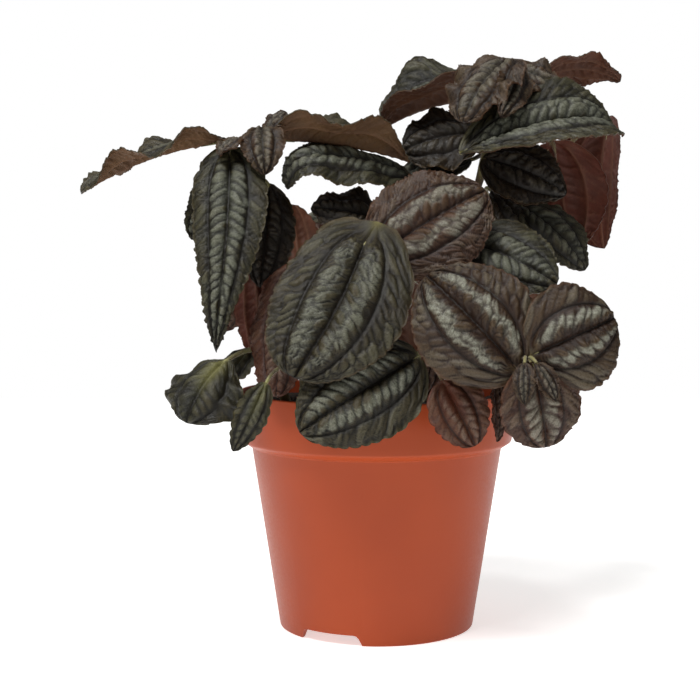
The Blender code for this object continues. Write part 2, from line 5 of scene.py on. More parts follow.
import bmesh
import bpy
import numpy as np
from bpy.props import FloatProperty, FloatVectorProperty, IntProperty, PointerProperty
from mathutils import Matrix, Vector

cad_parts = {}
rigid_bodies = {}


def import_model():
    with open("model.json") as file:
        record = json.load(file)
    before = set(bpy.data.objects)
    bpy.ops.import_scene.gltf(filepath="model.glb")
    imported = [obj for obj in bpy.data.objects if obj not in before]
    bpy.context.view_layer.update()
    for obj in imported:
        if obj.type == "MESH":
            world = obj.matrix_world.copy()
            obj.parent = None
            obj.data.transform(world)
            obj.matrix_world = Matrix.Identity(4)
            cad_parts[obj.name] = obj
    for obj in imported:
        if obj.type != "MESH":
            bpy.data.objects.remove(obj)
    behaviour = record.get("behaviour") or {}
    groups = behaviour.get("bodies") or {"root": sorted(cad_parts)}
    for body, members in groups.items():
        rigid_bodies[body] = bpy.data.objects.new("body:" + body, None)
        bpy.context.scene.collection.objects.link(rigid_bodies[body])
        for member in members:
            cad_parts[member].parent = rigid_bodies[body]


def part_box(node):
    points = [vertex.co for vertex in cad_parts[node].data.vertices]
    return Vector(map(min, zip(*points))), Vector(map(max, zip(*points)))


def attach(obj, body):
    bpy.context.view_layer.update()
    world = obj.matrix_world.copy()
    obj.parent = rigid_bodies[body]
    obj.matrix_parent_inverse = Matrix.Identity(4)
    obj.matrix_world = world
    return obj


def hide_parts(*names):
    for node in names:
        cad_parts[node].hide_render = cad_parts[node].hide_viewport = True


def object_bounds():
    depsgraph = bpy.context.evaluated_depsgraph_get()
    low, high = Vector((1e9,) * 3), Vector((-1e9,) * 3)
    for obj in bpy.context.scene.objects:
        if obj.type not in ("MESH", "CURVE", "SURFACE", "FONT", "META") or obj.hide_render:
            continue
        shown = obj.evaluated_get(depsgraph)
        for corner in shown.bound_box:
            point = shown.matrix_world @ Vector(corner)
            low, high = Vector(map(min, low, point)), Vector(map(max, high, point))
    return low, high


bl_info = {
    "name": "Friendship Plant",
    "version": (1, 0, 0),
    "blender": (4, 5, 0),
    "location": "View3D > Sidebar > Plant",
    "description": "A friendship plant in a plastic nursery pot",
    "category": "Add Mesh",
}

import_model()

MM = 0.001
CAD_BOX = [list(corner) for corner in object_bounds()]
POT_LOW, POT_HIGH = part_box("pot")
POT_PLACE = np.array([(POT_LOW.x + POT_HIGH.x) / 2, (POT_LOW.y + POT_HIGH.y) / 2, 0.0]) / MM
STEM_PREFIX = "leafy_stem_"


def linear(hex_colour):
    """An sRGB hex colour as linear RGB."""
    channels = [int(hex_colour[i:i + 2], 16) / 255.0 for i in (1, 3, 5)]
    return tuple(c / 12.92 if c <= 0.04045 else ((c + 0.055) / 1.055) ** 2.4 for c in channels)


def colour_property(name, description, hex_colour):
    """A colour that the user can change."""
    return FloatVectorProperty(name=name, description=description, subtype="COLOR", size=3,
                               min=0.0, max=1.0, default=linear(hex_colour))


def length_property(name, description, millimetres):
    """A length in metres, given in millimetres."""
    return FloatProperty(name=name, description=description, subtype="DISTANCE", unit="LENGTH",
                         min=0.0, precision=5, default=millimetres * MM)


# Pot and potting mix: lengths are millimetres

BASE_PLATE_UNDERSIDE = 5.0
BASE_PLATE_TOP = 6.6
FOOT_RING_WIDTH = 2.4
BODY_TOP_RADIUS = 54.4
RIM_UNDER_RADIUS = 55.6
RIM_UNDER_HEIGHT = 78.9
RIM_STEP_HEIGHT = 84.4
NOTCH_TURNS = (29.0, 209.0)
NOTCH_OUTLINE = ((-15.0, -1.0), (15.0, -1.0), (13.4, 3.0), (12.4, 4.2), (11.2, 4.5),
                 (-11.2, 4.5), (-12.4, 4.2), (-13.4, 3.0))
DRAIN_HOLES = 8
DRAIN_HOLE_RADIUS = 4.0
DRAIN_HOLE_CIRCLE = 30.0
DRAIN_SIDES = 32
GAP = 0.3
SOIL_LUMP = 1.3
SOIL_SIDES = 200
SOIL_RINGS = 68
SOIL_SEED = 5
CRUMB_BED_RINGS = 14
CRUMB_BED_SIDES = 48

# Stage: metres

KEY_PLACE = (-0.5, -0.72, 1.72)
KEY_WIDTH = 0.7
FILL_PLACE = (1.25, -0.55, 0.75)
BACK_PLACE = (0.1, 1.3, 1.3)
SOFT_WIDTH = 0.9
LIGHT_AIM = (0.0, 0.0, 0.12)
WHITE = (1.0, 1.0, 1.0, 1.0)

# Leaves: lengths are millimetres, and shares are of a leaf's length or half width

VEIN_AT = 0.52
PUFF_SHARE = 0.045
HOOK_FROM = 0.62
MIDRIB_STEPS = 121
WAVE_BY_WIDTH = 0.13
WAVE_BETWEEN_SIDES = 1.3
FULL_SIZE_WIDTH = 36.0
LEAF_SEED = 100

# Quilting
CELL_JITTER = 0.75
HASH_FACTORS = (127.1, 311.7, 43758.5453)
LANE_BY_PITCH = 1.7
INNER_SLANT = 0.55
OUTER_SLANT = 0.95
SLANT_AT_VEIN = 0.65
PILLOW_EDGE = 0.28
LADDER_SHARE = 0.45
FOLDS_IN_PITCH = 3.0
FOLD_MEAN = 0.6
TEETH_IN_PITCH = 0.75
WANDER_SIZE = 13.0
FOLD_WANDER_SIZE = 7.0
COARSE_WRINKLE = 2.4
FINE_WRINKLE = 1.5
SWELL_SIZE = 21.0
SWELL_HEIGHT = 0.5
SPECKLE_SIZE = 2.2
RIB_WIDTH = 0.62
SIDE_VEIN_WIDTH = 0.6

# Colour masks
VEIN_LINE = 0.42
NET_LINE = 0.09
MARGIN_WIDTH = 1.5
BASE_SPOT = 1.2

# Stems and petioles
STEM_RADIUS = 2.3
STEM_TAPER = 0.62
STEM_SIDES = 14
STEM_STEPS = 60
NODE_SWELLING = 0.35
NODE_SHARPNESS = 22.0
HOLE_DEPTH = 20.0
PETIOLE_RADIUS = 1.15
PETIOLE_END_RADIUS = 0.8
PETIOLE_TIP_RADIUS = 0.15
PETIOLE_SIDES = 10
PETIOLE_STEPS = 12
PETIOLE_BELOW = 0.29
PETIOLE_ASIDE = 0.17
PETIOLE_RISE = 0.35
PETIOLE_LEAVE = 0.4
PETIOLE_ARRIVE = 0.35
# How far along the midrib the petiole runs on under the blade, and how deep below it.
PETIOLE_RUNS_ON = ((0.06, 0.9), (0.13, 1.1))


@dataclass(frozen=True)
class Look:
    """How one kind of leaf is coloured and quilted: shares, where 1 is all of it.

    band is where the silver lies between the midrib and the side vein. lit scales the painted
    highlight and painted shade on the raised quilting, dark_middle darkens that painted light near
    the midrib, puff scales the quilting's height, and pale_veins lets pale veins spread from the
    leaf's base.
    """

    young: float = 0.0
    silver: float = 0.5
    band: tuple = (0.15, 0.95)
    red: float = 0.3
    under_red: float = 0.7
    inner_wrinkle: float = 0.6
    outer_wrinkle: float = 0.6
    # Strength of the painted highlight and painted shade on the quilting.
    lit: float = 1.0
    dark_middle: float = 0.0
    puff: float = 1.0
    pale_veins: float = 0.0


# Each look's lit sets how much painted highlight and painted shade its quilting takes; leaves in shadow
# take less.
MATURE = Look(young=0.1, silver=0.42, band=(0.1, 1.0), red=0.05, lit=0.9)
GREY_GREEN = Look(young=0.15, silver=0.42, band=(0.25, 0.9), red=0.2, inner_wrinkle=1.3,
                  outer_wrinkle=0.7, lit=0.9)
DARK = Look(young=0.15, silver=0.22, band=(0.1, 0.9), red=0.05, lit=0.9)
# Brown leaves with almost no silver that lie in shadow: the low lit paints heavy shade over their
# quilting, so they come out near black.
BROWN_IN_PAINTED_SHADE = Look(young=0.7, silver=0.06, red=0.2, inner_wrinkle=1.2, outer_wrinkle=1.2, lit=0.45)
BROWN = Look(young=1.0, silver=0.25, band=(0.2, 0.9), red=0.9, inner_wrinkle=0.9,
             outer_wrinkle=0.9)
CRINKLED = Look(young=0.8, silver=0.35, band=(0.0, 0.8), red=0.4, inner_wrinkle=1.2,
                outer_wrinkle=1.2)
SILVER = Look(young=0.5, silver=1.0, band=(0.42, 0.95), red=0.5, inner_wrinkle=1.5,
              outer_wrinkle=0.5, dark_middle=0.6, lit=0.95)
SILVER_CENTRE = Look(young=0.9, silver=0.8, band=(0.35, 0.95), red=0.6, inner_wrinkle=0.8,
                     outer_wrinkle=1.8)
OLIVE = Look(young=0.35, silver=0.35, band=(0.2, 0.9), red=0.0, under_red=0.35)
PALE_UNDER = Look(young=0.2, silver=0.6, band=(0.0, 1.0), red=0.2, under_red=0.8)
RED_UNDER = Look(young=0.3, silver=0.3, band=(0.1, 0.9), red=0.8, under_red=1.0, puff=0.7)
ORANGE = Look(young=0.9, silver=0.0, red=0.9, under_red=0.8, puff=0.4, inner_wrinkle=0.2,
              outer_wrinkle=0.2)
SMOOTH_OLIVE = Look(young=0.1, silver=0.1, red=0.0, puff=0.35, inner_wrinkle=0.3,
                    outer_wrinkle=0.3, pale_veins=0.35, lit=0.85)
WILTED = Look(young=0.1, silver=0.05, band=(0.1, 0.6), red=0.0, under_red=0.1, puff=0.4,
              inner_wrinkle=0.5, outer_wrinkle=0.5, pale_veins=0.8, lit=0.75)
OLIVE_SILVER = Look(young=0.3, silver=0.55, band=(0.3, 0.95), red=0.0, under_red=0.3,
                    inner_wrinkle=1.0)
SILVER_LOW = Look(young=0.75, silver=0.8, band=(0.15, 0.85), red=0.7)
PINK = Look(young=0.8, silver=0.35, band=(0.3, 0.8), red=1.0, under_red=0.9, puff=0.7,
            pale_veins=0.8, lit=1.2)


@dataclass
class Leaf:
    """One leaf: its base, tip and width, which way its upper side faces, and how it bends.

    at is the share of the stem where its petiole leaves. arch bends the midrib evenly and hook
    curls its last part, fold raises each half from the midrib, cup curves the halves further up,
    bend sways the midrib sideways, and ruffle is how far the margin waves, in waves for the
    length, moved on by shift. Angles are degrees here and radians once it is made. lobe is the
    share of the length by which the blade reaches back past its base, full is over 1 where the
    leaf is widest late, and a smaller blunt rounds the ends.
    """

    name: str
    base: tuple
    tip: tuple
    width: float
    face: tuple
    at: float = 1.0
    arch: float = 30.0
    hook: float = 0.0
    fold: float = 6.0
    cup: float = -20.0
    ruffle: float = 0.6
    waves: float = 2.5
    shift: float = 0.0
    lobe: float = 0.06
    full: float = 0.85
    blunt: float = 0.66
    bend: float = 0.0
    look: Look = MATURE

    def __post_init__(self):
        for name in ("base", "tip", "face"):
            setattr(self, name, np.array(getattr(self, name), float))
        for name in ("arch", "hook", "fold", "cup"):
            setattr(self, name, math.radians(getattr(self, name)))


@dataclass
class Stem:
    """One leafy stem: the points that it grows through from the soil up, and its leaves."""

    name: str
    points: list
    leaves: list

    def __post_init__(self):
        self.points = np.array(self.points, float)


STEMS = [
    Stem("leafy_stem_tall_left",
         [(-30, -6, 97), (-34, -8, 125), (-44, -13, 160), (-50, -19, 190), (-51, -23, 207)], [
             Leaf("far left", (-66, -22, 209), (-122, -34, 187), 34, (-0.1, 0, 1), at=0.98,
                  arch=26, fold=13, cup=0, ruffle=5, waves=2.0, shift=0.22, blunt=0.5, look=OLIVE),
             Leaf("hanging left", (-61, -31, 203), (-66, -44, 122), 32, (-0.1, -1, 0.1),
                  at=0.95, arch=30, hook=45, cup=-30, full=0.5, blunt=0.95, bend=3),
             Leaf("behind hanging", (-62, -12, 196), (-79, -14, 168), 26, (-0.6, -0.8, 0.2),
                  at=0.9, arch=30),
             Leaf("young left", (-54, -27, 208), (-65, -38, 202), 14, (-0.3, -0.4, 0.85),
                  arch=80, ruffle=1.2, look=CRINKLED),
             Leaf("young front", (-48, -27, 214), (-46, -40, 194), 19, (0, -0.9, 0.4),
                  arch=90, ruffle=1.2, look=CRINKLED),
             Leaf("young right", (-46, -25, 212), (-38, -22, 221), 13, (-0.5, -0.6, 0.6),
                  arch=50, ruffle=1.0, look=CRINKLED),
             Leaf("arching right", (-42, -23, 210), (14, -12, 201), 41, (0, 0.05, 1), at=0.97,
                  arch=16, fold=29, cup=0, ruffle=5, waves=1.65, shift=-0.04, look=OLIVE),
             Leaf("brown inner", (-46, -18, 190), (-49, -26, 148), 26, (0.2, -1, 0),
                  at=0.8, arch=30, ruffle=1.2, look=BROWN_IN_PAINTED_SHADE),
         ]),
    Stem("leafy_stem_left_front",
         [(-20, -24, 97), (-20, -28, 125), (-14, -38, 150), (-3, -42, 166)], [
             Leaf("large front", (-6, -54, 166), (-33, -80, 115), 54, (-0.1, -0.95, 0.3),
                  arch=30, cup=-26, lobe=0.24, ruffle=1.0, full=0.88, blunt=0.42,
                  bend=3, look=GREY_GREEN),
             Leaf("brown left", (-35, -39, 156), (-41, -55, 105), 32, (-0.5, -0.85, 0),
                  at=0.6, arch=20, ruffle=1.5, blunt=0.5, look=BROWN),
             Leaf("narrow over rim", (-45, -68, 111), (-57, -75, 86), 14, (0.3, -0.9, 0.2),
                  at=0.08, arch=30, look=SMOOTH_OLIVE),
             Leaf("jagged top", (4, -22, 174), (-28, -26, 181), 26, (0.1, -0.8, 0.6),
                  at=0.9, arch=40, ruffle=2.2, look=BROWN_IN_PAINTED_SHADE),
         ]),
    Stem("leafy_stem_low_left",
         [(-38, -20, 97), (-42, -26, 112), (-46, -33, 122)], [
             Leaf("wilted", (-62, -53, 119), (-76, -66, 96), 38, (-0.35, -0.8, 0.45),
                  arch=50, cup=-45, lobe=0.1, ruffle=2.0, waves=3.5, full=1.2,
                  blunt=0.55, look=WILTED),
             Leaf("dark low", (-53, -38, 123), (-62, -45, 109), 15, (-0.4, -0.8, 0.4), at=0.9,
                  arch=30, look=SMOOTH_OLIVE),
         ]),
    Stem("leafy_stem_centre",
         [(4, -8, 97), (4, -12, 130), (8, -26, 158), (10, -38, 172)], [
             Leaf("brown and silver", (2, -45, 163), (44, -35, 188), 49, (0, -0.9, 0.5),
                  arch=30, cup=-24, ruffle=1.4, lobe=0.14, blunt=0.5, look=SILVER_CENTRE),
             Leaf("curled dark", (14, -8, 195.5), (-38, -24, 189), 32, (0, -0.6, 0.8),
                  at=0.97, arch=30, hook=100, cup=-35, ruffle=1.5),
             Leaf("green behind", (32, -30, 168), (72, -46, 150), 40, (0.1, -0.8, 0.6),
                  at=0.8, arch=35, blunt=0.55),
         ]),
    Stem("leafy_stem_low_front",
         [(14, -34, 97), (16, -42, 114), (18, -52, 126)], [
             Leaf("bottom front", (14, -61, 121), (-31, -80, 94), 43, (0.1, -0.95, 0.35),
                  arch=30, cup=-24, ruffle=1.0, blunt=0.52, look=OLIVE_SILVER),
             Leaf("pink small", (25, -71, 112), (37, -74, 88), 24, (0, -1, 0.2), at=0.8,
                  arch=35, fold=12, blunt=0.5, look=PINK),
             Leaf("dark small", (22, -55, 126), (17, -62, 105), 12, (0.4, -0.9, 0.2),
                  arch=20, look=BROWN),
             Leaf("narrow dark", (46, -66, 114), (46, -70, 89), 10, (0.6, -0.8, 0.1), at=0.8,
                  arch=20, fold=20, look=BROWN),
         ]),
    Stem("leafy_stem_low_right",
         [(34, -24, 97), (38, -34, 112), (48, -58, 122), (56, -76, 122)], [
             Leaf("silver left", (51, -82, 120), (18, -68, 154), 49, (-0.1, -0.95, 0.3),
                  arch=40, cup=-24, ruffle=0.8, lobe=0.1, blunt=0.52, look=SILVER),
             Leaf("silver right", (60, -82, 125), (90, -76, 138), 43, (0.1, -0.98, 0.1),
                  arch=60, cup=-24, ruffle=0.8, lobe=0.14, blunt=0.48, look=SILVER),
             Leaf("silver low", (58, -84, 120), (64, -78, 88), 33, (0.1, -0.98, 0.1),
                  arch=40, cup=-24, full=1.0, blunt=0.48, look=SILVER_LOW),
             Leaf("young low left", (54, -88, 121), (54, -92, 106), 9, (-0.3, -0.9, 0.3),
                  arch=40, look=CRINKLED),
             Leaf("young low right", (59, -88, 121), (66, -91, 107), 10, (0.2, -0.9, 0.3),
                  arch=40, look=CRINKLED),
         ]),
    Stem("leafy_stem_tall_right",
         [(24, 8, 97), (28, 6, 130), (36, 2, 165), (46, -2, 200), (54, -2, 234)], [
             Leaf("long silver", (37, -26, 205), (100, -12, 214), 48, (0, -0.62, 0.78),
                  at=0.82, arch=32, hook=25, fold=27, cup=-18, full=1.4, blunt=0.46),
             Leaf("top right", (73, 12, 239), (108, 17, 238), 24, (0, 0.45, 0.9), arch=68,
                  cup=-10, ruffle=2.0, waves=2.2, blunt=0.55, look=PALE_UNDER),
             Leaf("young front", (56, -8, 244), (35, -28, 216), 32, (-0.4, -0.7, 0.6),
                  arch=50, fold=10, ruffle=2.6, waves=3.5, blunt=0.5, look=CRINKLED),
             Leaf("young mid", (60, -9, 241), (50, -34, 218), 17, (0.3, -0.9, 0.3),
                  arch=30, fold=12, ruffle=2.0, look=CRINKLED),
             Leaf("young back", (58, -4, 240), (77, -8, 231), 22, (0.2, -0.8, 0.6),
                  arch=60, ruffle=2.0, look=CRINKLED),
             Leaf("top left", (46, 14, 230), (3, 16, 217), 50, (-0.1, -0.3, 0.95), arch=30,
                  fold=46, cup=-10, ruffle=3, waves=1.7, shift=0.1, full=0.95,
                  blunt=0.5),
             Leaf("dark crinkled", (42, 3, 214), (11, 2, 206), 34, (0, -0.8, 0.6),
                  at=0.86, arch=40, ruffle=2.2, blunt=0.55, look=BROWN_IN_PAINTED_SHADE),
             Leaf("dark under", (46, -10, 202), (80, -14, 187), 34, (0.2, -0.8, 0.5),
                  at=0.75, arch=40, look=BROWN_IN_PAINTED_SHADE),
             Leaf("grey centre", (40, 4, 203), (9, 8, 195), 28, (0, -0.6, 0.8), at=0.78,
                  arch=35),
         ]),
    Stem("leafy_stem_right_back",
         [(36, 24, 97), (46, 26, 130), (62, 24, 170), (74, 24, 196)], [
             Leaf("red hanging right", (103, 22, 220), (104, 34, 164), 48, (-0.5, 0.86, 0.1),
                  arch=26, fold=32, cup=-5, blunt=0.6, look=RED_UNDER),
             Leaf("dark hanging", (78, 11, 209), (87, 16, 163), 41, (0.1, 1, 0.2), at=0.9,
                  arch=25, blunt=0.55, look=RED_UNDER),
             Leaf("serrated right", (62, -8, 182), (88, -16, 155), 34, (0.4, -0.7, 0.6),
                  at=0.7, arch=40, look=DARK),
             Leaf("strip", (50, -9, 188), (68, -18, 160), 24, (0.5, -0.6, 0.6), at=0.6,
                  arch=30, look=BROWN_IN_PAINTED_SHADE),
             Leaf("right back low", (60, 42, 148), (80, 70, 110), 40, (0.5, 0.8, 0.2),
                  at=0.5, arch=35, look=DARK),
             Leaf("right back mid", (70, 36, 182), (68, 80, 172), 38, (0.1, 0.5, 0.85),
                  at=0.9, arch=50),
         ]),
    Stem("leafy_stem_left_back",
         [(-24, 20, 97), (-30, 26, 130), (-36, 32, 160), (-36, 36, 172)], [
             Leaf("orange lit", (-34, 20, 154), (-38, 28, 184), 22, (0, 1, 0.2), at=0.35,
                  blunt=0.5, look=ORANGE),
             Leaf("red hanging", (-52, -20, 161), (-50, -22, 114), 24, (0.25, 0.95, 0.1),
                  at=0.5, arch=20, fold=14, cup=0, look=RED_UNDER),
             Leaf("brown bit", (-58, 8, 148), (-66, 4, 128), 18, (-0.4, -0.8, 0.3), at=0.5,
                  look=BROWN),
             Leaf("left back side", (-46, 38, 166), (-74, 52, 138), 38, (-0.6, 0.6, 0.5),
                  arch=40),
             Leaf("left back low", (-38, 40, 140), (-50, 70, 106), 38, (-0.4, 0.85, 0.2),
                  at=0.5, arch=35, look=DARK),
             Leaf("left back top", (-34, 44, 176), (-26, 84, 172), 36, (0, 0.2, 1),
                  arch=50),
         ]),
    Stem("leafy_stem_back",
         [(4, 34, 97), (6, 44, 130), (10, 50, 165)], [
             Leaf("back high", (12, 58, 168), (22, 94, 152), 40, (0, 0.5, 0.85), arch=45),
             Leaf("back left", (2, 58, 156), (-16, 90, 126), 42, (-0.3, 0.9, 0.4), at=0.85,
                  arch=40, look=DARK),
             Leaf("back right", (18, 58, 150), (40, 92, 122), 40, (0.3, 0.9, 0.4), at=0.75,
                  arch=40),
             Leaf("back low", (8, 60, 134), (8, 82, 96), 36, (0, 0.95, 0.2), at=0.5,
                  arch=35, look=DARK),
             Leaf("back inner", (6, 42, 176), (-16, 26, 188), 28, (-0.1, -0.3, 0.9),
                  arch=40, look=DARK),
         ]),
]


def unit(vector):
    """The vector at length 1."""
    return vector / np.linalg.norm(vector)


def smooth_step(share):
    """0 to 1 with flat ends."""
    share = np.clip(share, 0.0, 1.0)
    return share * share * (3.0 - 2.0 * share)


def midrib(leaf, shares):
    """Points, tangents, upper-side and side directions of the midrib at shares of its length."""
    fine = np.linspace(0.0, 1.0, MIDRIB_STEPS)
    hooked = smooth_step((fine - HOOK_FROM) / (1.0 - HOOK_FROM))
    turn = leaf.arch * (0.5 - fine) - leaf.hook * hooked
    step = fine[1]
    ahead = np.concatenate([[0.0], np.cumsum((np.cos(turn[1:]) + np.cos(turn[:-1])) * step / 2)])
    rise = np.concatenate([[0.0], np.cumsum((np.sin(turn[1:]) + np.sin(turn[:-1])) * step / 2)])
    lean = math.atan2(rise[-1], ahead[-1])
    chord = leaf.tip - leaf.base
    scale = np.linalg.norm(chord) / math.hypot(ahead[-1], rise[-1])
    along = unit(chord)
    face = unit(leaf.face - along * np.dot(leaf.face, along))
    side = np.cross(face, along)
    forward = (ahead * math.cos(lean) + rise * math.sin(lean)) * scale
    height = (rise * math.cos(lean) - ahead * math.sin(lean)) * scale
    forward = np.interp(shares, fine, forward)[:, None]
    height = np.interp(shares, fine, height)[:, None]
    angle = (np.interp(shares, fine, turn) - lean)[:, None]
    sway = leaf.bend * np.sin(np.pi * np.asarray(shares))[:, None]
    points = leaf.base + along * forward + face * height + side * sway
    tangents = along * np.cos(angle) + face * np.sin(angle)
    upper = face * np.cos(angle) - along * np.sin(angle)
    return points, tangents, upper, np.broadcast_to(side, upper.shape)


def half_width(leaf, share):
    """Half the blade's width at a share of its length."""
    return leaf.width / 2.0 * np.sin(np.pi * share ** leaf.full) ** leaf.blunt


def blade(leaf, shares, across_shares, narrow):
    """Blade points and their upper-side directions, with the margin drawn in by the share narrow."""
    points, tangents, upper, side = midrib(leaf, shares)
    length = np.linalg.norm(leaf.tip - leaf.base)
    half = half_width(leaf, np.clip(shares, 0.0, 1.0))
    reach = np.abs(across_shares) * narrow
    sign = np.sign(across_shares)
    slope = leaf.fold + leaf.cup * reach
    mean_slope = leaf.fold + leaf.cup * reach / 2.0
    out = half * reach * np.cos(mean_slope)
    lift = half * reach * np.sin(mean_slope)
    turns = leaf.waves * shares + leaf.shift + WAVE_BY_WIDTH * leaf.width
    wave = np.sin(2.0 * np.pi * turns + WAVE_BETWEEN_SIDES * sign)
    lift = lift + leaf.ruffle * wave * reach ** 2 * np.sin(np.pi * np.clip(shares, 0, 1)) ** 0.5
    lane = np.where(reach < VEIN_AT, np.sin(np.pi * reach / VEIN_AT), 0.0)
    lift = lift + PUFF_SHARE * half * 2.0 * lane
    back = leaf.lobe * length * reach ** 1.5 * (1.0 - shares) ** 4
    place = points + side * (out * sign)[:, None] + upper * lift[:, None] - tangents * back[:, None]
    normal = upper * np.cos(slope)[:, None] - side * (np.sin(slope) * sign)[:, None]
    return place, normal


def ripple(x, y, random, size):
    """Smooth noise from -1 to 1 in features of about the given size."""
    total = np.zeros_like(x)
    for turn in random.uniform(0.0, 2.0 * math.pi, (5, 3)):
        wave = 2.0 * math.pi / size * (0.7 + 0.6 * turn[2] / 6.3)
        total += np.sin(wave * (x * math.cos(turn[0]) + y * math.sin(turn[0])) + turn[1])
    return total / 3.0


def hashed(a, b, seed):
    """A number from 0 to 1 for each pair of whole numbers."""
    first, second, spread = HASH_FACTORS
    return np.mod(np.sin(a * first + b * second + seed) * spread, 1.0)


def cells(u, v, seed):
    """Jittered cells, one in a unit square.

    It gives how far inside its cell's edge each point is, how far from its middle, and a number
    for its cell.
    """
    nearest = np.full(u.shape, 9.0)
    second = np.full(u.shape, 9.0)
    number = np.zeros(u.shape)
    for row in (-1, 0, 1):
        b = np.floor(v) + row
        stagger = 0.5 * np.mod(b, 2.0)
        for column in (-1, 0, 1):
            a = np.floor(u - stagger) + column
            du = a + stagger + 0.5 + CELL_JITTER * (hashed(a, b, seed) - 0.5) - u
            dv = b + 0.5 + CELL_JITTER * (hashed(b, a, seed + 3.7) - 0.5) - v
            far = np.hypot(du, dv)
            closer = far < nearest
            second = np.where(closer, nearest, np.minimum(second, far))
            number = np.where(closer, hashed(a, b, seed + 9.1), number)
            nearest = np.where(closer, far, nearest)
    return second - nearest, nearest, number


def leaf_length(leaf):
    """About how long the bent midrib is."""
    return np.linalg.norm(leaf.tip - leaf.base) * (1.0 + 0.12 * abs(leaf.arch + leaf.hook))


def quilt(leaf, shares, across_shares, settings, random):
    """The quilted relief in millimetres, the margin's teeth, and the masks that colour the leaf, with the
    painted highlight and painted shade of the quilting among them.
    """
    look = leaf.look
    half = half_width(leaf, shares)
    along = shares * leaf_length(leaf)
    reach = np.abs(across_shares)
    sign = np.where(across_shares < 0, -1.0, 1.0)
    out = half * reach
    across = out * sign
    vein_out = half * VEIN_AT
    inner = reach < VEIN_AT
    lane = np.where(inner, reach / VEIN_AT, (reach - VEIN_AT) / (1.0 - VEIN_AT))
    grown = min(1.0, leaf.width / FULL_SIZE_WIDTH)
    smaller = 0.62 + 0.38 * grown
    ends = smooth_step(shares / 0.07) * smooth_step((1.0 - shares) / 0.05)

    # Cross veins slant forward from the midrib, and puffed cells lie between them.
    wander = ripple(along, across, random, WANDER_SIZE)
    slant = np.where(inner, INNER_SLANT * out + 0.10 * vein_out * lane ** 2,
                     SLANT_AT_VEIN * vein_out + OUTER_SLANT * (out - vein_out))
    pitch = settings.vein_pitch / MM * smaller
    phase = (along - slant) / pitch + 0.22 * wander + 0.5 * (sign > 0)
    lanes = max(1.0, round(leaf.width * VEIN_AT / 2.0 / (pitch * LANE_BY_PITCH)))
    depth = np.where(inner, lane * lanes, (1.0 + lane) * lanes) + 40.0 * (sign > 0)
    inside, middle, number = cells(phase, depth, leaf.width + 7.0 * leaf.waves)
    pillow = (1.0 - np.exp(-(inside / PILLOW_EDGE) ** 2)) * (1.0 - 0.3 * middle ** 2)
    ladder = np.abs(np.sin(np.pi * phase)) ** 0.7
    puffed = (LADDER_SHARE * ladder + (1.0 - LADDER_SHARE) * pillow) * (0.7 + 0.6 * number)

    # Fine folds run with the cross veins, strongest outside the silver.
    folds = phase * FOLDS_IN_PITCH + 0.9 * ripple(along, across, random, FOLD_WANDER_SIZE)
    folded = np.abs(np.sin(np.pi * folds)) ** 0.8 - FOLD_MEAN
    wrinkle = (ripple(along, across, random, COARSE_WRINKLE) * 0.6
               + ripple(along, across, random, FINE_WRINKLE) * 0.3)
    low, high = look.band
    edge = lane + 0.22 * (1.0 - puffed) + 0.14 * wander
    band = smooth_step((edge - low) / 0.18) * smooth_step((high - edge) / 0.14) * inner
    band *= smooth_step((shares - 0.04) / 0.10) * smooth_step((0.97 - shares) / 0.15)
    crease = np.where(inner, look.inner_wrinkle, look.outer_wrinkle)
    crease = crease * (1.0 - 0.75 * band * look.silver)

    # Relief: quilting, wrinkles, folds, a slow swell towards the margin, and the sunken veins.
    window = np.sin(np.pi * np.clip(lane, 0.04, 0.96)) ** 0.5
    window = np.where(inner, window, np.maximum(window, smooth_step(lane)))
    height = settings.quilt_height / MM * (0.5 + 0.5 * grown) * look.puff
    lift = height * (puffed - 0.5 + 0.13 * wrinkle) * window * ends
    lift += settings.fold_height / MM * crease * folded * window * ends
    lift += SWELL_HEIGHT * ripple(along, across, random, SWELL_SIZE) * smooth_step(reach) * ends * smaller
    rib = np.exp(-(out / RIB_WIDTH) ** 2) * smooth_step(shares / 0.1) * (1.0 - 0.5 * shares)
    lateral = np.exp(-((out - vein_out) / SIDE_VEIN_WIDTH) ** 2) * smooth_step(half / 4.0) * ends
    lift -= settings.rib_groove / MM * smaller * (rib + 0.9 * lateral)
    tooth = np.abs(np.sin(np.pi * (TEETH_IN_PITCH * phase + 0.12 * number))) ** 0.6

    # Masks: what stands up is painted lighter and what sinks is painted darker, as painted highlight and
    # painted shade of the quilting, and silver lies on its tops.
    speckle = 0.8 + 0.2 * ripple(along, across, random, SPECKLE_SIZE)
    raised = puffed + 0.8 * crease * folded
    raised = raised * (1.0 - look.dark_middle * inner * (1.0 - smooth_step(lane / 0.6)))
    top = smooth_step((raised - 0.2) / 0.6)
    strewn = 0.2 * (1 - inner) * top * smooth_step((number - 0.45) / 0.4)
    silver = look.silver * speckle * (band * (0.25 + 0.75 * top) + strewn)
    netted = np.exp(-(inside / NET_LINE) ** 2) * ends * smooth_step(out) * (0.25 + 0.5 * number)
    veins = np.maximum(np.maximum(np.exp(-(out / VEIN_LINE) ** 2), lateral ** 2), netted)
    margin = smooth_step((out - half + MARGIN_WIDTH) / 1.3) * smooth_step((half - 2.0) / 5.0)
    spot = 1.0 - smooth_step(along / BASE_SPOT + out / 0.8)
    radiating = np.exp(-(out / (0.5 + 0.3 * half * (1.0 - shares))) ** 2)
    pale = look.pale_veins * radiating * (1.0 - smooth_step((shares - 0.15) / 0.55))
    masks = {"silver": np.clip(silver, 0, 1), "vein": veins * (1.0 - pale), "margin": margin,
             "tone": number, "leaf_base": np.maximum(spot ** 3, 0.8 * pale) ** 0.33,
             # Painted light of the quilting: lighter on its tops, darker in its folds and hollows, scaled
             # by the look's lit.
             "quilt_top": np.clip(raised, 0, 1) * window * look.lit, "young": look.young,
             "red": look.red}
    return lift, tooth, masks


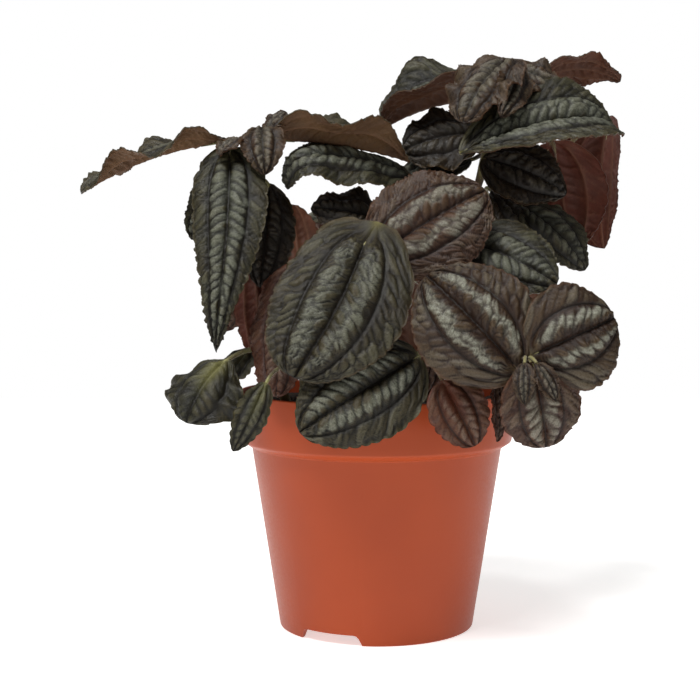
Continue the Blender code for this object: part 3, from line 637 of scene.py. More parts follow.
class MeshParts:
    """Vertices, faces and vertex masks gathered for one mesh."""

    MASKS = ("silver", "vein", "margin", "tone", "leaf_base", "quilt_top", "young", "red")

    def __init__(self):
        self.points = []
        self.faces = []
        self.kinds = []
        self.masks = {name: [] for name in self.MASKS}
        self.count = 0

    def add(self, points, faces, kind, masks=None):
        """Add points with their masks, and faces of one material."""
        self.points.append(points)
        self.faces.append((faces + self.count, kind))
        for name in self.MASKS:
            value = (masks or {}).get(name, 0.0)
            self.masks[name].append(np.broadcast_to(value, (len(points),)))
        self.count += len(points)

    def mesh(self, name):
        """The mesh, with one face per row: a row that ends in -1 is a triangle."""
        mesh = bpy.data.meshes.new(name)
        points = (np.concatenate(self.points) + POT_PLACE) * MM
        points = np.clip(points, CAD_BOX[0], CAD_BOX[1])
        rows = np.concatenate([faces for faces, _ in self.faces])
        kinds = np.concatenate([np.full(len(faces), kind) for faces, kind in self.faces])
        rows, kinds, sizes = whole_faces(rows, kinds)
        corners = rows[rows >= 0]
        starts = np.concatenate([[0], np.cumsum(sizes)[:-1]])
        mesh.vertices.add(len(points))
        mesh.vertices.foreach_set("co", points.astype(np.float32).ravel())
        mesh.loops.add(len(corners))
        mesh.loops.foreach_set("vertex_index", corners.astype(np.int32))
        mesh.polygons.add(len(rows))
        mesh.polygons.foreach_set("loop_start", starts.astype(np.int32))
        mesh.polygons.foreach_set("material_index", kinds.astype(np.int32))
        mesh.update(calc_edges=True)
        for mask, values in self.masks.items():
            attribute = mesh.attributes.new(mask, "FLOAT", "POINT")
            attribute.data.foreach_set("value", np.concatenate(values).astype(np.float32))
        mesh.validate()
        mesh.shade_smooth()
        return mesh


def whole_faces(rows, kinds):
    """Rows of four corners, where one that repeats a corner becomes a triangle ending in -1."""
    rows = rows.copy()
    for first, second in ((0, 1), (1, 2), (2, 3), (3, 0)):
        same = (rows[:, first] == rows[:, second]) & (rows >= 0).all(axis=1)
        chosen = rows[same]
        keep = [column for column in range(4) if column != second]
        rows[same] = np.concatenate([chosen[:, keep], np.full((len(chosen), 1), -1)], axis=1)
    distinct = (rows[:, 0] != rows[:, 1]) & (rows[:, 1] != rows[:, 2]) & (rows[:, 0] != rows[:, 2])
    rows = rows[distinct]
    kinds = kinds[distinct]
    return rows, kinds, (rows >= 0).sum(axis=1)


# The order of a leafy stem's materials.
UPPER, UNDER, STALK = 0, 1, 2
# Leaves that stand behind the middle of the plant are seen less and get a coarser grid.
BEHIND_DEPTH = 25.0
COARSER_BEHIND = 0.5


def add_leaf(parts, leaf, settings, random):
    """One leaf blade, closed, with its quilted upper face and the same relief below."""
    behind = smooth_step(leaf.base[1] / BEHIND_DEPTH)
    grid = settings.grid / MM * (1.0 + COARSER_BEHIND * behind)
    rows = max(14, int(round(leaf_length(leaf) / grid)))
    columns = 2 * max(6, int(round(leaf.width / grid / 2.0)))
    steps = np.linspace(0.0, 1.0, rows + 1)
    steps = steps + 0.02 * np.sin(2.0 * np.pi * steps)
    shares, across = np.meshgrid(steps, np.linspace(-1.0, 1.0, columns + 1), indexing="ij")
    shares = shares.ravel()
    across = across.ravel()
    lift, tooth, masks = quilt(leaf, shares, across, settings, random)
    outer = smooth_step((np.abs(across) - 0.7) / 0.3)
    depth = settings.tooth_depth / MM / np.maximum(half_width(leaf, shares), 1.0)
    narrow = 1.0 - np.minimum(depth, 0.2) * (1.0 - tooth) * outer
    place, normal = blade(leaf, shares, across, narrow)
    place = place + normal * lift[:, None]
    thick = settings.blade / MM / 2.0
    index = np.arange(len(shares)).reshape(rows + 1, columns + 1)
    index[0, :] = index[0, 0]
    index[-1, :] = index[-1, 0]
    count = len(shares)
    quads = np.stack([index[:-1, :-1], index[:-1, 1:], index[1:, 1:], index[1:, :-1]], axis=-1)
    quads = quads.reshape(-1, 4)
    under = dict(masks)
    under["red"] = leaf.look.under_red
    parts.add(place + normal * thick, quads[:, ::-1], UPPER, masks)
    parts.add(place - normal * thick, quads, UNDER, under)
    left = index[:, 0]
    right = index[:, -1]
    band = [np.stack([left[:-1], left[1:], left[1:] + count, left[:-1] + count], axis=-1),
            np.stack([right[1:], right[:-1], right[:-1] + count, right[1:] + count], axis=-1)]
    for faces in band:
        parts.faces.append((faces + parts.count - 2 * count, UPPER))


def curve_through(points, steps):
    """Points on a smooth curve through the given ones."""
    points = np.asarray(points, float)
    ends = np.concatenate([[2 * points[0] - points[1]], points, [2 * points[-1] - points[-2]]])
    result = []
    spans = len(points) - 1
    for step in range(steps + 1):
        place = spans * step / steps
        span = min(int(place), spans - 1)
        u = place - span
        a, b, c, d = ends[span:span + 4]
        result.append(0.5 * (2 * b + (c - a) * u + (2 * a - 5 * b + 4 * c - d) * u * u
                             + (3 * b - a - 3 * c + d) * u ** 3))
    return np.array(result)


def add_tube(parts, path, radii, sides, masks=None):
    """A closed round tube along a path, with pointed ends."""
    path = np.asarray(path, float)
    tangents = np.gradient(path, axis=0)
    normal = unit(np.cross(tangents[0], (0.31, 0.83, 0.47)))
    turns = np.arange(sides) * 2.0 * np.pi / sides
    rings = []
    for point, tangent, radius in zip(path, tangents, radii):
        tangent = unit(tangent)
        normal = unit(normal - tangent * np.dot(normal, tangent))
        other = np.cross(tangent, normal)
        round_it = np.outer(np.cos(turns), normal) + np.outer(np.sin(turns), other)
        rings.append(point + radius * round_it)
    points = np.concatenate(rings + [path[:1], path[-1:]])
    index = np.arange(len(path) * sides).reshape(len(path), sides)
    after = np.roll(index, -1, axis=1)
    quads = np.stack([index[:-1], after[:-1], after[1:], index[1:]], axis=-1).reshape(-1, 4)
    start = np.full(sides, len(points) - 2)
    end = np.full(sides, len(points) - 1)
    caps = [np.stack([start, after[0], index[0], index[0]], axis=-1),
            np.stack([end, index[-1], after[-1], after[-1]], axis=-1)]
    parts.add(points, np.concatenate([quads] + caps), STALK, masks)


def petiole_path(stem, leaf):
    """From the stem's middle out to the leaf's base, then on under the midrib."""
    start = curve_through(stem.points, STEM_STEPS)[int(round(leaf.at * STEM_STEPS))]
    on = np.array([0.0] + [share for share, _ in PETIOLE_RUNS_ON])
    ribs, tangents, upper, side = midrib(leaf, on)
    end = ribs[0] - upper[0] * PETIOLE_BELOW + side[0] * PETIOLE_ASIDE
    reach = np.linalg.norm(end - start)
    rise = np.array([0.0, 0.0, PETIOLE_RISE * reach])
    leave = start + unit(end - start + rise) * reach * PETIOLE_LEAVE
    arrive = end - tangents[0] * reach * PETIOLE_ARRIVE
    u = np.linspace(0.0, 1.0, PETIOLE_STEPS + 1)[:, None]
    free = (start * (1 - u) ** 3 + leave * 3 * u * (1 - u) ** 2 + arrive * 3 * u * u * (1 - u)
            + end * u ** 3)
    deep = np.array([depth for _, depth in PETIOLE_RUNS_ON])[:, None]
    return np.concatenate([free, ribs[1:] - upper[1:] * deep])


def add_stem(parts, stem):
    """The stem itself, rooted in its hole and thicker at the joints where leaves leave it."""
    above = curve_through(stem.points, STEM_STEPS)
    shares = np.linspace(0.0, 1.0, STEM_STEPS + 1)
    radii = STEM_RADIUS * (1.0 + (STEM_TAPER - 1.0) * shares)
    for leaf in stem.leaves:
        radii = radii + NODE_SWELLING * np.exp(-((shares - leaf.at) * NODE_SHARPNESS) ** 2)
    radii = np.concatenate([[STEM_RADIUS], np.minimum(radii, STEM_RADIUS)])
    foot = stem.points[:1] - (0.0, 0.0, HOLE_DEPTH)
    add_tube(parts, np.concatenate([foot, above]), radii, STEM_SIDES, {"red": 0.35, "young": 0.3})
    for leaf in stem.leaves:
        path = petiole_path(stem, leaf)
        smaller = min(1.0, 0.45 + leaf.width / 40.0)
        radii = smaller * np.linspace(PETIOLE_RADIUS, PETIOLE_END_RADIUS, len(path))
        radii[-2:] = smaller * PETIOLE_END_RADIUS * 0.5, PETIOLE_TIP_RADIUS
        masks = {"red": leaf.look.red * 0.6, "young": leaf.look.young}
        add_tube(parts, path, radii, PETIOLE_SIDES, masks)


# Nodes and materials

def add_node(tree, kind, inputs=None, **settings):
    """A node of a kind with its settings, its input values and what its inputs are linked from."""
    made = tree.nodes.new(kind)
    for name, value in settings.items():
        setattr(made, name, value)
    for socket, value in (inputs or {}).items():
        if isinstance(value, bpy.types.NodeSocket):
            tree.links.new(value, made.inputs[socket])
        else:
            made.inputs[socket].default_value = value
    return made


def colour(value):
    """A colour with full alpha, from a hex string or a colour property."""
    return (*(linear(value) if isinstance(value, str) else tuple(value)), 1.0)


def new_material(name):
    """An empty material with its Principled shader and its output joined, and places on the piece."""
    made = bpy.data.materials.new(name)
    made.use_nodes = True
    tree = made.node_tree
    tree.nodes.clear()
    shader = add_node(tree, "ShaderNodeBsdfPrincipled")
    add_node(tree, "ShaderNodeOutputMaterial", {"Surface": shader.outputs["BSDF"]})
    place = add_node(tree, "ShaderNodeTexCoord").outputs["Object"]
    return made, tree, shader, place


def patches(tree, place, per_millimetre, detail, rough, low, high, out_low=0.0, out_high=1.0):
    """A share that wanders over the piece, from noise with so many features in a millimetre."""
    noise = add_node(tree, "ShaderNodeTexNoise", {"Vector": place, "Scale": per_millimetre / MM,
                                                  "Detail": detail, "Roughness": rough})
    made = add_node(tree, "ShaderNodeMapRange",
                    {"Value": noise.outputs["Fac"], "From Min": low, "From Max": high,
                     "To Min": out_low, "To Max": out_high}, interpolation_type="SMOOTHSTEP")
    return made.outputs["Result"]


def coat(tree, shader, base, layers):
    """Colour laid over a base in layers, each with its share, its colour and how it is blended."""
    for share, over, blend in layers:
        made = add_node(tree, "ShaderNodeMix", {0: share, 6: base, 7: over}, data_type="RGBA",
                        blend_type=blend)
        base = made.outputs[2]
    tree.links.new(base, shader.inputs["Base Color"])


def roughen(tree, shader, place, per_millimetre, detail, rough, strength, depth):
    """Relief too fine for the mesh, as a bump of noise so many millimetres deep."""
    noise = add_node(tree, "ShaderNodeTexNoise", {"Vector": place, "Scale": per_millimetre / MM,
                                                  "Detail": detail, "Roughness": rough})
    made = add_node(tree, "ShaderNodeBump", {"Height": noise.outputs["Fac"], "Strength": strength,
                                             "Distance": depth * MM})
    tree.links.new(made.outputs["Normal"], shader.inputs["Normal"])


def leaf_upper(colours):
    """Living leaf, upper side: satin and finely pitted, bronze green with a metallic grey band, and
    painted highlight and painted shade over its quilting.
    """
    made, tree, shader, place = new_material("quilted_leaf_upper")
    mask = {name: add_node(tree, "ShaderNodeAttribute", attribute_name=name).outputs["Fac"]
            for name in MeshParts.MASKS}
    # tone varies each cell's colour at random; raised is painted light: painted shade in the quilting's
    # folds and painted highlight on its tops.
    tone, raised = (
        add_node(tree, "ShaderNodeMapRange", {"Value": mask[name], "From Min": low, "From Max": high,
                                              "To Min": dark, "To Max": light},
                 interpolation_type="SMOOTHSTEP").outputs["Result"]
        for name, low, high, dark, light in (("tone", 0.0, 1.0, 0.78, 1.18),
                                             ("quilt_top", 0.08, 0.92, 0.28, 1.5)))
    glint = patches(tree, place, 1.6, 2.0, 0.6, 0.3, 0.6, 0.644, 0.92)
    share = {name: add_node(tree, "ShaderNodeMath", {0: mask[name], 1: by}, operation=operation,
                            use_clamp=True).outputs[0]
             for name, operation, by in (("silver", "MULTIPLY", glint), ("vein", "MULTIPLY", 0.75),
                                         ("margin", "MULTIPLY", 0.55), ("leaf_base", "POWER", 3.0),
                                         ("red", "POWER", 2.0))}
    blush = add_node(tree, "ShaderNodeMath", {0: share["red"], 1: 0.45}, operation="MULTIPLY")
    flush = colour(colours.flush)
    rim, stalk = (
        add_node(tree, "ShaderNodeMix", {0: mask["red"], 6: colour(green), 7: flush},
                 data_type="RGBA").outputs[2]
        for green in (colours.rim, colours.petiole))
    coat(tree, shader, colour(colours.mature), [
        (mask["young"], colour(colours.young), "MIX"),
        (patches(tree, place, 0.09, 3.0, 0.5, 0.42, 0.66, 0.0, 0.55), colour(colours.olive), "MIX"),
        (1.0, tone, "MULTIPLY"),
        # Painted shade in the folds and painted highlight on the tops of the quilting.
        (1.0, raised, "MULTIPLY"),
        (share["silver"], colour(colours.silver), "MIX"),
        (blush.outputs[0], flush, "MIX"),
        (share["vein"], colour(colours.vein), "MIX"),
        (share["margin"], rim, "MIX"),
        (share["leaf_base"], stalk, "MIX"),
        (1.0, patches(tree, place, 1.6, 2.0, 0.6, 0.25, 0.75, 0.78, 1.22), "MULTIPLY")])
    gloss = patches(tree, place, 1.6, 2.0, 0.6, 0.2, 0.8, 0.48, 0.32)
    tree.links.new(gloss, shader.inputs["Roughness"])
    roughen(tree, shader, place, 1.9, 3.0, 0.65, 0.7, 0.4)
    shader.inputs["IOR"].default_value = 1.42
    shader.inputs["Specular IOR Level"].default_value = 0.34
    return made


def leaf_under(colours):
    """Living leaf, under side: dull brown red to pale green, with raised paler veins."""
    made, tree, shader, place = new_material("leaf_underside")
    red, vein = (add_node(tree, "ShaderNodeAttribute", attribute_name=name).outputs["Fac"]
                 for name in ("red", "vein"))
    faint = add_node(tree, "ShaderNodeMath", {0: vein, 1: 0.45}, operation="MULTIPLY")
    coat(tree, shader, colour(colours.under_pale), [
        (red, colour(colours.under_red), "MIX"),
        (patches(tree, place, 0.08, 2.0, 0.5, 0.35, 0.7, 0.0, 0.45), colour(colours.under_brown), "MIX"),
        (faint.outputs[0], colour(colours.under_vein), "MIX"),
        (1.0, patches(tree, place, 1.8, 2.0, 0.6, 0.25, 0.75, 0.85, 1.15), "MULTIPLY")])
    roughen(tree, shader, place, 2.0, 3.0, 0.65, 0.5, 0.2)
    shader.inputs["Roughness"].default_value = 0.62
    shader.inputs["IOR"].default_value = 1.4
    shader.inputs["Specular IOR Level"].default_value = 0.3
    return made


def leaf_stalk(colours):
    """Soft green stem: satin and watery, flushed pinkish brown where light reaches it."""
    made, tree, shader, place = new_material("soft_stem")
    red = add_node(tree, "ShaderNodeAttribute", attribute_name="red")
    blush = add_node(tree, "ShaderNodeMath", {0: red.outputs["Fac"], 1: 0.7}, operation="MULTIPLY")
    coat(tree, shader, colour(colours.petiole), [
        (patches(tree, place, 0.12, 3.0, 0.5, 0.35, 0.68), colour(colours.stem), "MIX"),
        (blush.outputs[0], colour(colours.flush), "MIX")])
    roughen(tree, shader, place, 1.5, 2.0, 0.5, 0.4, 0.15)
    shader.inputs["Roughness"].default_value = 0.5
    shader.inputs["IOR"].default_value = 1.4
    shader.inputs["Subsurface Weight"].default_value = 0.1
    shader.inputs["Subsurface Radius"].default_value = (0.9 * MM, 1.1 * MM, 0.4 * MM)
    shader.inputs["Sheen Weight"].default_value = 0.2
    return made


def leaf_hair(colours):
    """Fine plant hair: pale and matt, so it takes the light and gives the stems a soft bloom."""
    made, tree, shader, place = new_material("plant_hair")
    shader.inputs["Base Color"].default_value = colour(colours.hair)
    shader.inputs["Roughness"].default_value = 0.6
    return made


def pot_plastic(settings):
    """Injection moulded polypropylene, terracotta coloured: satin, slightly uneven, lightly scuffed."""
    made, tree, shader, place = new_material("moulded_polypropylene")
    level = add_node(tree, "ShaderNodeMapping", {"Vector": place, "Scale": (1.0, 1.0, 9.0)})
    scuffs = patches(tree, level.outputs["Vector"], 0.11, 4.0, 0.7, 0.66, 0.8, 0.0, 0.14)
    coat(tree, shader, colour(settings.pot_colour), [
        (patches(tree, place, 0.03, 2.0, 0.5, 0.3, 0.7, 0.0, 0.35), colour(settings.pot_shade), "MIX"),
        (scuffs, colour(settings.pot_dust), "MIX")])
    satin = patches(tree, place, 0.9, 3.0, 0.6, 0.3, 0.7, 0.36, 0.46)
    tree.links.new(satin, shader.inputs["Roughness"])
    roughen(tree, shader, place, 0.25, 2.0, 0.5, 0.12, 0.3)
    shader.inputs["IOR"].default_value = 1.49
    shader.inputs["Specular IOR Level"].default_value = 0.2
    shader.inputs["Subsurface Weight"].default_value = 0.05
    shader.inputs["Subsurface Radius"].default_value = (2.0 * MM, 0.8 * MM, 0.4 * MM)
    return made


def peat(settings):
    """Damp peat: crumbly, near black, with paler brown specks."""
    made, tree, shader, place = new_material("damp_peat")
    coat(tree, shader, colour(settings.peat_dark), [
        (patches(tree, place, 0.8, 4.0, 0.7, 0.4, 0.7), colour(settings.peat_brown), "MIX")])
    roughen(tree, shader, place, 0.8, 4.0, 0.7, 0.8, 0.8)
    shader.inputs["Roughness"].default_value = 0.9
    return made


# Making pieces

def piece(name, mesh, slot, *nodes):
    """A finished piece, in the scene, that rides with the plant and stands for the CAD nodes."""
    made = bpy.data.objects.new(name, mesh)
    bpy.context.scene.collection.objects.link(made)
    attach(made, "root")
    if nodes:
        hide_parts(*nodes)
    return made


def solid_mesh(name, points, faces):
    """A mesh from points in millimetres, measured from the middle of the pot's foot."""
    mesh = bpy.data.meshes.new(name)
    placed = (np.asarray(points, float) + POT_PLACE) * MM
    mesh.from_pydata([tuple(point) for point in placed], [],
                     [tuple(int(corner) for corner in face) for face in faces])
    mesh.update()
    work = bmesh.new()
    work.from_mesh(mesh)
    bmesh.ops.recalc_face_normals(work, faces=work.faces)
    work.to_mesh(mesh)
    work.free()
    return mesh


def turned_faces(rings, sides):
    """Faces that join rings of a turned shape, with its first and last point on the axis."""
    faces = []
    last = 1 + rings * sides
    for side in range(sides):
        after = (side + 1) % sides
        faces.append((0, 1 + after, 1 + side))
        base = 1 + (rings - 1) * sides
        faces.append((base + side, base + after, last))
        for ring in range(rings - 1):
            start = 1 + ring * sides
            faces.append((start + side, start + after, start + sides + after, start + sides + side))
    return faces


def turned_points(profile, sides):
    """Points of a turned shape: the first and last profile points lie on the axis."""
    turns = (np.arange(sides) + 0.5) * 2.0 * np.pi / sides
    points = [np.array([[0.0, 0.0, profile[0][1]]])]
    for radius, height in profile[1:-1]:
        points.append(np.stack([radius * np.cos(turns), radius * np.sin(turns),
                                np.full(sides, height)], axis=-1))
    points.append(np.array([[0.0, 0.0, profile[-1][1]]]))
    return np.concatenate(points)


def rounded(profile, corners, radius, steps=4):
    """The profile with the named corners rounded."""
    result = []
    for index, point in enumerate(profile):
        if index not in corners:
            result.append(point)
            continue
        here = np.array(point)
        before = np.array(profile[index - 1])
        after = np.array(profile[index + 1])
        reach = min(radius, np.linalg.norm(before - here) * 0.45, np.linalg.norm(after - here) * 0.45)
        start = here + unit(before - here) * reach
        end = here + unit(after - here) * reach
        for step in range(steps + 1):
            u = step / steps
            result.append(tuple(start * (1 - u) ** 2 + here * 2 * u * (1 - u) + end * u * u))
    return result


def cut(target, cutters):
    """Cut closed meshes out of a piece, all in one exact Boolean, and remove them."""
    group = bpy.data.collections.new("cutters")
    bpy.context.scene.collection.children.link(group)
    for mesh in cutters:
        group.objects.link(bpy.data.objects.new("cutter", mesh))
    modifier = target.modifiers.new("cut", "BOOLEAN")
    modifier.operation = "DIFFERENCE"
    modifier.solver = "EXACT"
    modifier.operand_type = "COLLECTION"
    modifier.collection = group
    bpy.context.view_layer.update()
    plain = bpy.data.meshes.new_from_object(target.evaluated_get(bpy.context.evaluated_depsgraph_get()))
    target.modifiers.clear()
    target.data = plain
    for cutter in list(group.objects):
        bpy.data.objects.remove(cutter)
    bpy.data.collections.remove(group)


class PotSettings(bpy.types.PropertyGroup):
    """Sizes and colours of the pot and of what fills it."""

    height: length_property("Height", "Height of the pot", 102.6)
    rim_radius: length_property("Rim radius", "Outer radius at the top of the rim", 60.0)
    rim_low_radius: length_property("Rim low radius", "Outer radius at the foot of the rim band", 59.0)
    base_radius: length_property("Base radius", "Outer radius at the foot", 42.25)
    wall: length_property("Wall", "Thickness of the moulded wall", 1.5)
    edge: length_property("Edge", "Rounding of the moulded edges", 0.7)
    sides: IntProperty(name="Sides", description="Facets round the pot", default=192, min=24, max=400)
    soil_top: length_property("Fill height", "Height of the potting mix", 96.5)
    crumb: length_property("Crumb", "Width of the largest crumbs", 2.6)
    pot_colour: colour_property("Plastic", "Colour of the pot", "#9F421F")
    pot_shade: colour_property("Plastic shade", "Second tone of the pot", "#923A1C")
    pot_dust: colour_property("Scuffs", "Colour of dust and scuffs", "#A46C50")
    peat_dark: colour_property("Peat", "Darkest tone of the potting mix", "#1A120D")
    peat_brown: colour_property("Peat brown", "Lighter tone of the potting mix", "#3A2A1F")


class LeafSettings(bpy.types.PropertyGroup):
    """Sizes and colours of the leaves and stems."""

    blade: length_property("Blade", "Thickness of a leaf blade", 0.6)
    grid: length_property("Grid", "Spacing of a leaf's mesh", 0.56)
    vein_pitch: length_property("Quilting pitch", "Distance between the cross veins", 4.4)
    quilt_height: length_property("Quilting height", "How far the quilting rises", 1.25)
    fold_height: length_property("Fold height", "Height of the fine folds", 0.8)
    rib_groove: length_property("Rib groove", "Depth of the sunken main veins", 0.8)
    tooth_depth: length_property("Tooth depth", "Depth of the margin's teeth", 1.0)
    hair_length: length_property("Hair length", "Length of the longest hairs", 0.9)
    mature: colour_property("Mature leaf", "Body of a mature leaf", "#2D2C1D")
    young: colour_property("Young leaf", "Body of a young or brown leaf", "#35271B")
    olive: colour_property("Olive", "Olive cast of the leaf body", "#2B2413")
    silver: colour_property("Silver", "Metallic grey of the bands", "#888C7E")
    vein: colour_property("Sunken vein", "Colour in the sunken veins", "#0D0805")
    rim: colour_property("Rim", "Olive yellow of a green leaf's margin", "#403A20")
    flush: colour_property("Flush", "Red brown of margins and stalks", "#5E3020")
    petiole: colour_property("Petiole", "Pale green of stalks and leaf bases", "#827F4E")
    stem: colour_property("Stem", "Brown green of the stems", "#3E3222")
    under_red: colour_property("Under red", "Red under side", "#4E2316")
    under_pale: colour_property("Under pale", "Pale under side", "#5C4A30")
    under_brown: colour_property("Under brown", "Brown cast of the under side", "#34211A")
    under_vein: colour_property("Under vein", "Veins of the under side", "#6A4A36")
    hair: colour_property("Hair", "Colour of the fine hairs", "#B9A99A")


class StageSettings(bpy.types.PropertyGroup):
    """The floor, the light and the camera."""

    floor_size: length_property("Floor", "Width of the floor", 1900.0)
    floor_colour: colour_property("Floor colour", "Colour of the floor", "#FBFBFA")
    floor_glow: FloatProperty(name="Floor glow", description="Light that shines through the paper",
                              default=0.6, min=0.0)
    lens: FloatProperty(name="Lens", description="Focal length in millimetres", default=76.9, min=10.0)
    distance: length_property("Distance", "How far the camera stands in front of the pot's middle", 650.0)
    eye: length_property("Eye height", "Height of the camera", 166.3)
    aside: length_property("Aside", "How far the camera stands to the side of the pot", -11.6)
    pitch: FloatProperty(name="Pitch", description="How far the camera looks down", subtype="ANGLE",
                         default=0.071)
    key: FloatProperty(name="Key light", description="Power of the large front light in watts",
                       default=37.0)
    fill: FloatProperty(name="Fill light", description="Power of the side and back lights in watts",
                        default=0.5)
    sky: FloatProperty(name="Surround", description="Strength of the white surround", default=0.28)


class PLANT_OT_stage(bpy.types.Operator):
    """Add the pale floor, the soft lights and the camera"""

    bl_idname = "plant.stage"
    bl_label = "Stage"

    def execute(self, context):
        settings = context.scene.plant_stage
        half = settings.floor_size / 2.0
        mesh = bpy.data.meshes.new("floor")
        mesh.from_pydata([(-half, -half, 0), (half, -half, 0), (half, half, 0), (-half, half, 0)], [],
                         [(0, 1, 2, 3)])
        floor = bpy.data.objects.new("floor", mesh)
        context.scene.collection.objects.link(floor)
        made, tree, shader, place = new_material("matt_paper")
        shader.inputs["Base Color"].default_value = colour(settings.floor_colour)
        shader.inputs["Roughness"].default_value = 0.9
        shader.inputs["Emission Color"].default_value = colour(settings.floor_colour)
        shader.inputs["Emission Strength"].default_value = settings.floor_glow
        mesh.materials.append(made)
        self.light(context, "key_light", KEY_PLACE, KEY_WIDTH, settings.key)
        self.light(context, "fill_light", FILL_PLACE, SOFT_WIDTH, settings.fill)
        self.light(context, "back_light", BACK_PLACE, SOFT_WIDTH, settings.fill)
        world = bpy.data.worlds.new("white_surround")
        world.use_nodes = True
        world.node_tree.nodes.clear()
        tree = world.node_tree
        light = add_node(tree, "ShaderNodeBackground", {"Color": WHITE, "Strength": settings.sky})
        seen = add_node(tree, "ShaderNodeBackground", {"Color": WHITE, "Strength": 1.0})
        path = add_node(tree, "ShaderNodeLightPath")
        both = add_node(tree, "ShaderNodeMixShader", {0: path.outputs["Is Camera Ray"],
                                                      1: light.outputs["Background"],
                                                      2: seen.outputs["Background"]})
        add_node(tree, "ShaderNodeOutputWorld", {"Surface": both.outputs["Shader"]})
        context.scene.world = world
        context.scene.view_settings.view_transform = "Standard"
        lens = bpy.data.cameras.new("camera")
        lens.lens = settings.lens
        lens.sensor_width = 36.0
        lens.clip_start = 0.01
        lens.clip_end = 100.0
        camera = bpy.data.objects.new("camera", lens)
        camera.location = (POT_PLACE[0] * MM + settings.aside, POT_PLACE[1] * MM - settings.distance,
                           settings.eye)
        camera.rotation_euler = (math.pi / 2.0 - settings.pitch, 0.0, 0.0)
        context.scene.collection.objects.link(camera)
        context.scene.camera = camera
        return {"FINISHED"}

    def light(self, context, name, place, size, power):
        """One square area light that looks at the plant."""
        data = bpy.data.lights.new(name, "AREA")
        data.energy = power
        data.size = size
        made = bpy.data.objects.new(name, data)
        made.location = place
        aim = Vector(LIGHT_AIM) - Vector(place)
        made.rotation_euler = aim.to_track_quat("-Z", "Y").to_euler()
        context.scene.collection.objects.link(made)


class PLANT_OT_pot(bpy.types.Operator):
    """Add the moulded pot with its rim band, foot notches and drainage holes"""

    bl_idname = "plant.pot"
    bl_label = "Pot"

    def execute(self, context):
        settings = context.scene.plant_pot
        made = piece("nursery_pot", self.body(settings), "pot_plastic", "pot")
        cut(made, self.notches(settings) + self.drains())
        made.data.materials.clear()
        made.data.materials.append(pot_plastic(settings))
        made.data.shade_smooth()
        made.data.set_sharp_from_angle(angle=math.radians(40.0))
        return {"FINISHED"}

    def body(self, settings):
        """The turned shell, from under the base plate round the wall to inside the plate."""
        height = settings.height / MM
        top = settings.rim_radius / MM
        low = settings.rim_low_radius / MM
        base = settings.base_radius / MM
        wall = settings.wall / MM
        ring = base - FOOT_RING_WIDTH
        profile = [(0.0, BASE_PLATE_UNDERSIDE), (ring - 1.0, BASE_PLATE_UNDERSIDE), (ring, 0.0),
                   (base, 0.0), (BODY_TOP_RADIUS, RIM_UNDER_HEIGHT),
                   (RIM_UNDER_RADIUS, RIM_UNDER_HEIGHT + 0.4), (low - 0.2, RIM_UNDER_HEIGHT + 2.5),
                   (low, RIM_STEP_HEIGHT), (top, height), (top - wall, height),
                   (low - wall, RIM_STEP_HEIGHT + 1.0), (BODY_TOP_RADIUS - wall, RIM_UNDER_HEIGHT),
                   (base + 1.0 - wall, BASE_PLATE_TOP), (0.0, BASE_PLATE_TOP)]
        shape = rounded(profile, (2, 3, 4, 6, 8, 9, 10, 12), settings.edge / MM)
        sides = settings.sides
        return solid_mesh("nursery_pot", turned_points(shape, sides), turned_faces(len(shape) - 2, sides))

    def notches(self, settings):
        """Cutters for the two notches in the foot."""
        base = settings.base_radius / MM
        cutters = []
        for turn in NOTCH_TURNS:
            angle = math.radians(-90.0 - turn)
            ahead = np.array([math.cos(angle), math.sin(angle), 0.0])
            right = np.array([-math.sin(angle), math.cos(angle), 0.0])
            points = []
            for reach in (base - 14.0, base + 8.0):
                points += [ahead * reach + right * x + np.array([0.0, 0.0, z])
                           for x, z in NOTCH_OUTLINE]
            count = len(NOTCH_OUTLINE)
            faces = [tuple(range(count)), tuple(range(2 * count - 1, count - 1, -1))]
            for index in range(count):
                after = (index + 1) % count
                faces.append((index, index + count, after + count, after))
            cutters.append(solid_mesh("notch", points, faces))
        return cutters

    def drains(self):
        """Cutters for the drainage holes in the base plate."""
        cutters = []
        sides = DRAIN_SIDES
        turns = np.arange(sides) * 2.0 * np.pi / sides
        for hole in range(DRAIN_HOLES):
            angle = 2.0 * math.pi * (hole + 0.5) / DRAIN_HOLES
            centre = np.array([math.cos(angle), math.sin(angle)]) * DRAIN_HOLE_CIRCLE
            ring = centre + DRAIN_HOLE_RADIUS * np.stack([np.cos(turns), np.sin(turns)], axis=-1)
            low = np.column_stack([ring, np.full(sides, BASE_PLATE_UNDERSIDE - 2.0)])
            high = np.column_stack([ring, np.full(sides, BASE_PLATE_TOP + 2.0)])
            faces = [tuple(range(sides)), tuple(range(2 * sides - 1, sides - 1, -1))]
            for side in range(sides):
                after = (side + 1) % sides
                faces.append((side, side + sides, after + sides, after))
            cutters.append(solid_mesh("drain", np.concatenate([low, high]), faces))
        return cutters


def soil_lump(x, y):
    """How far the potting mix stands above or below its level, in millimetres."""
    return SOIL_LUMP * (np.sin(0.19 * x + 0.7) * np.cos(0.23 * y) + 0.5 * np.sin(0.41 * x - 0.37 * y))


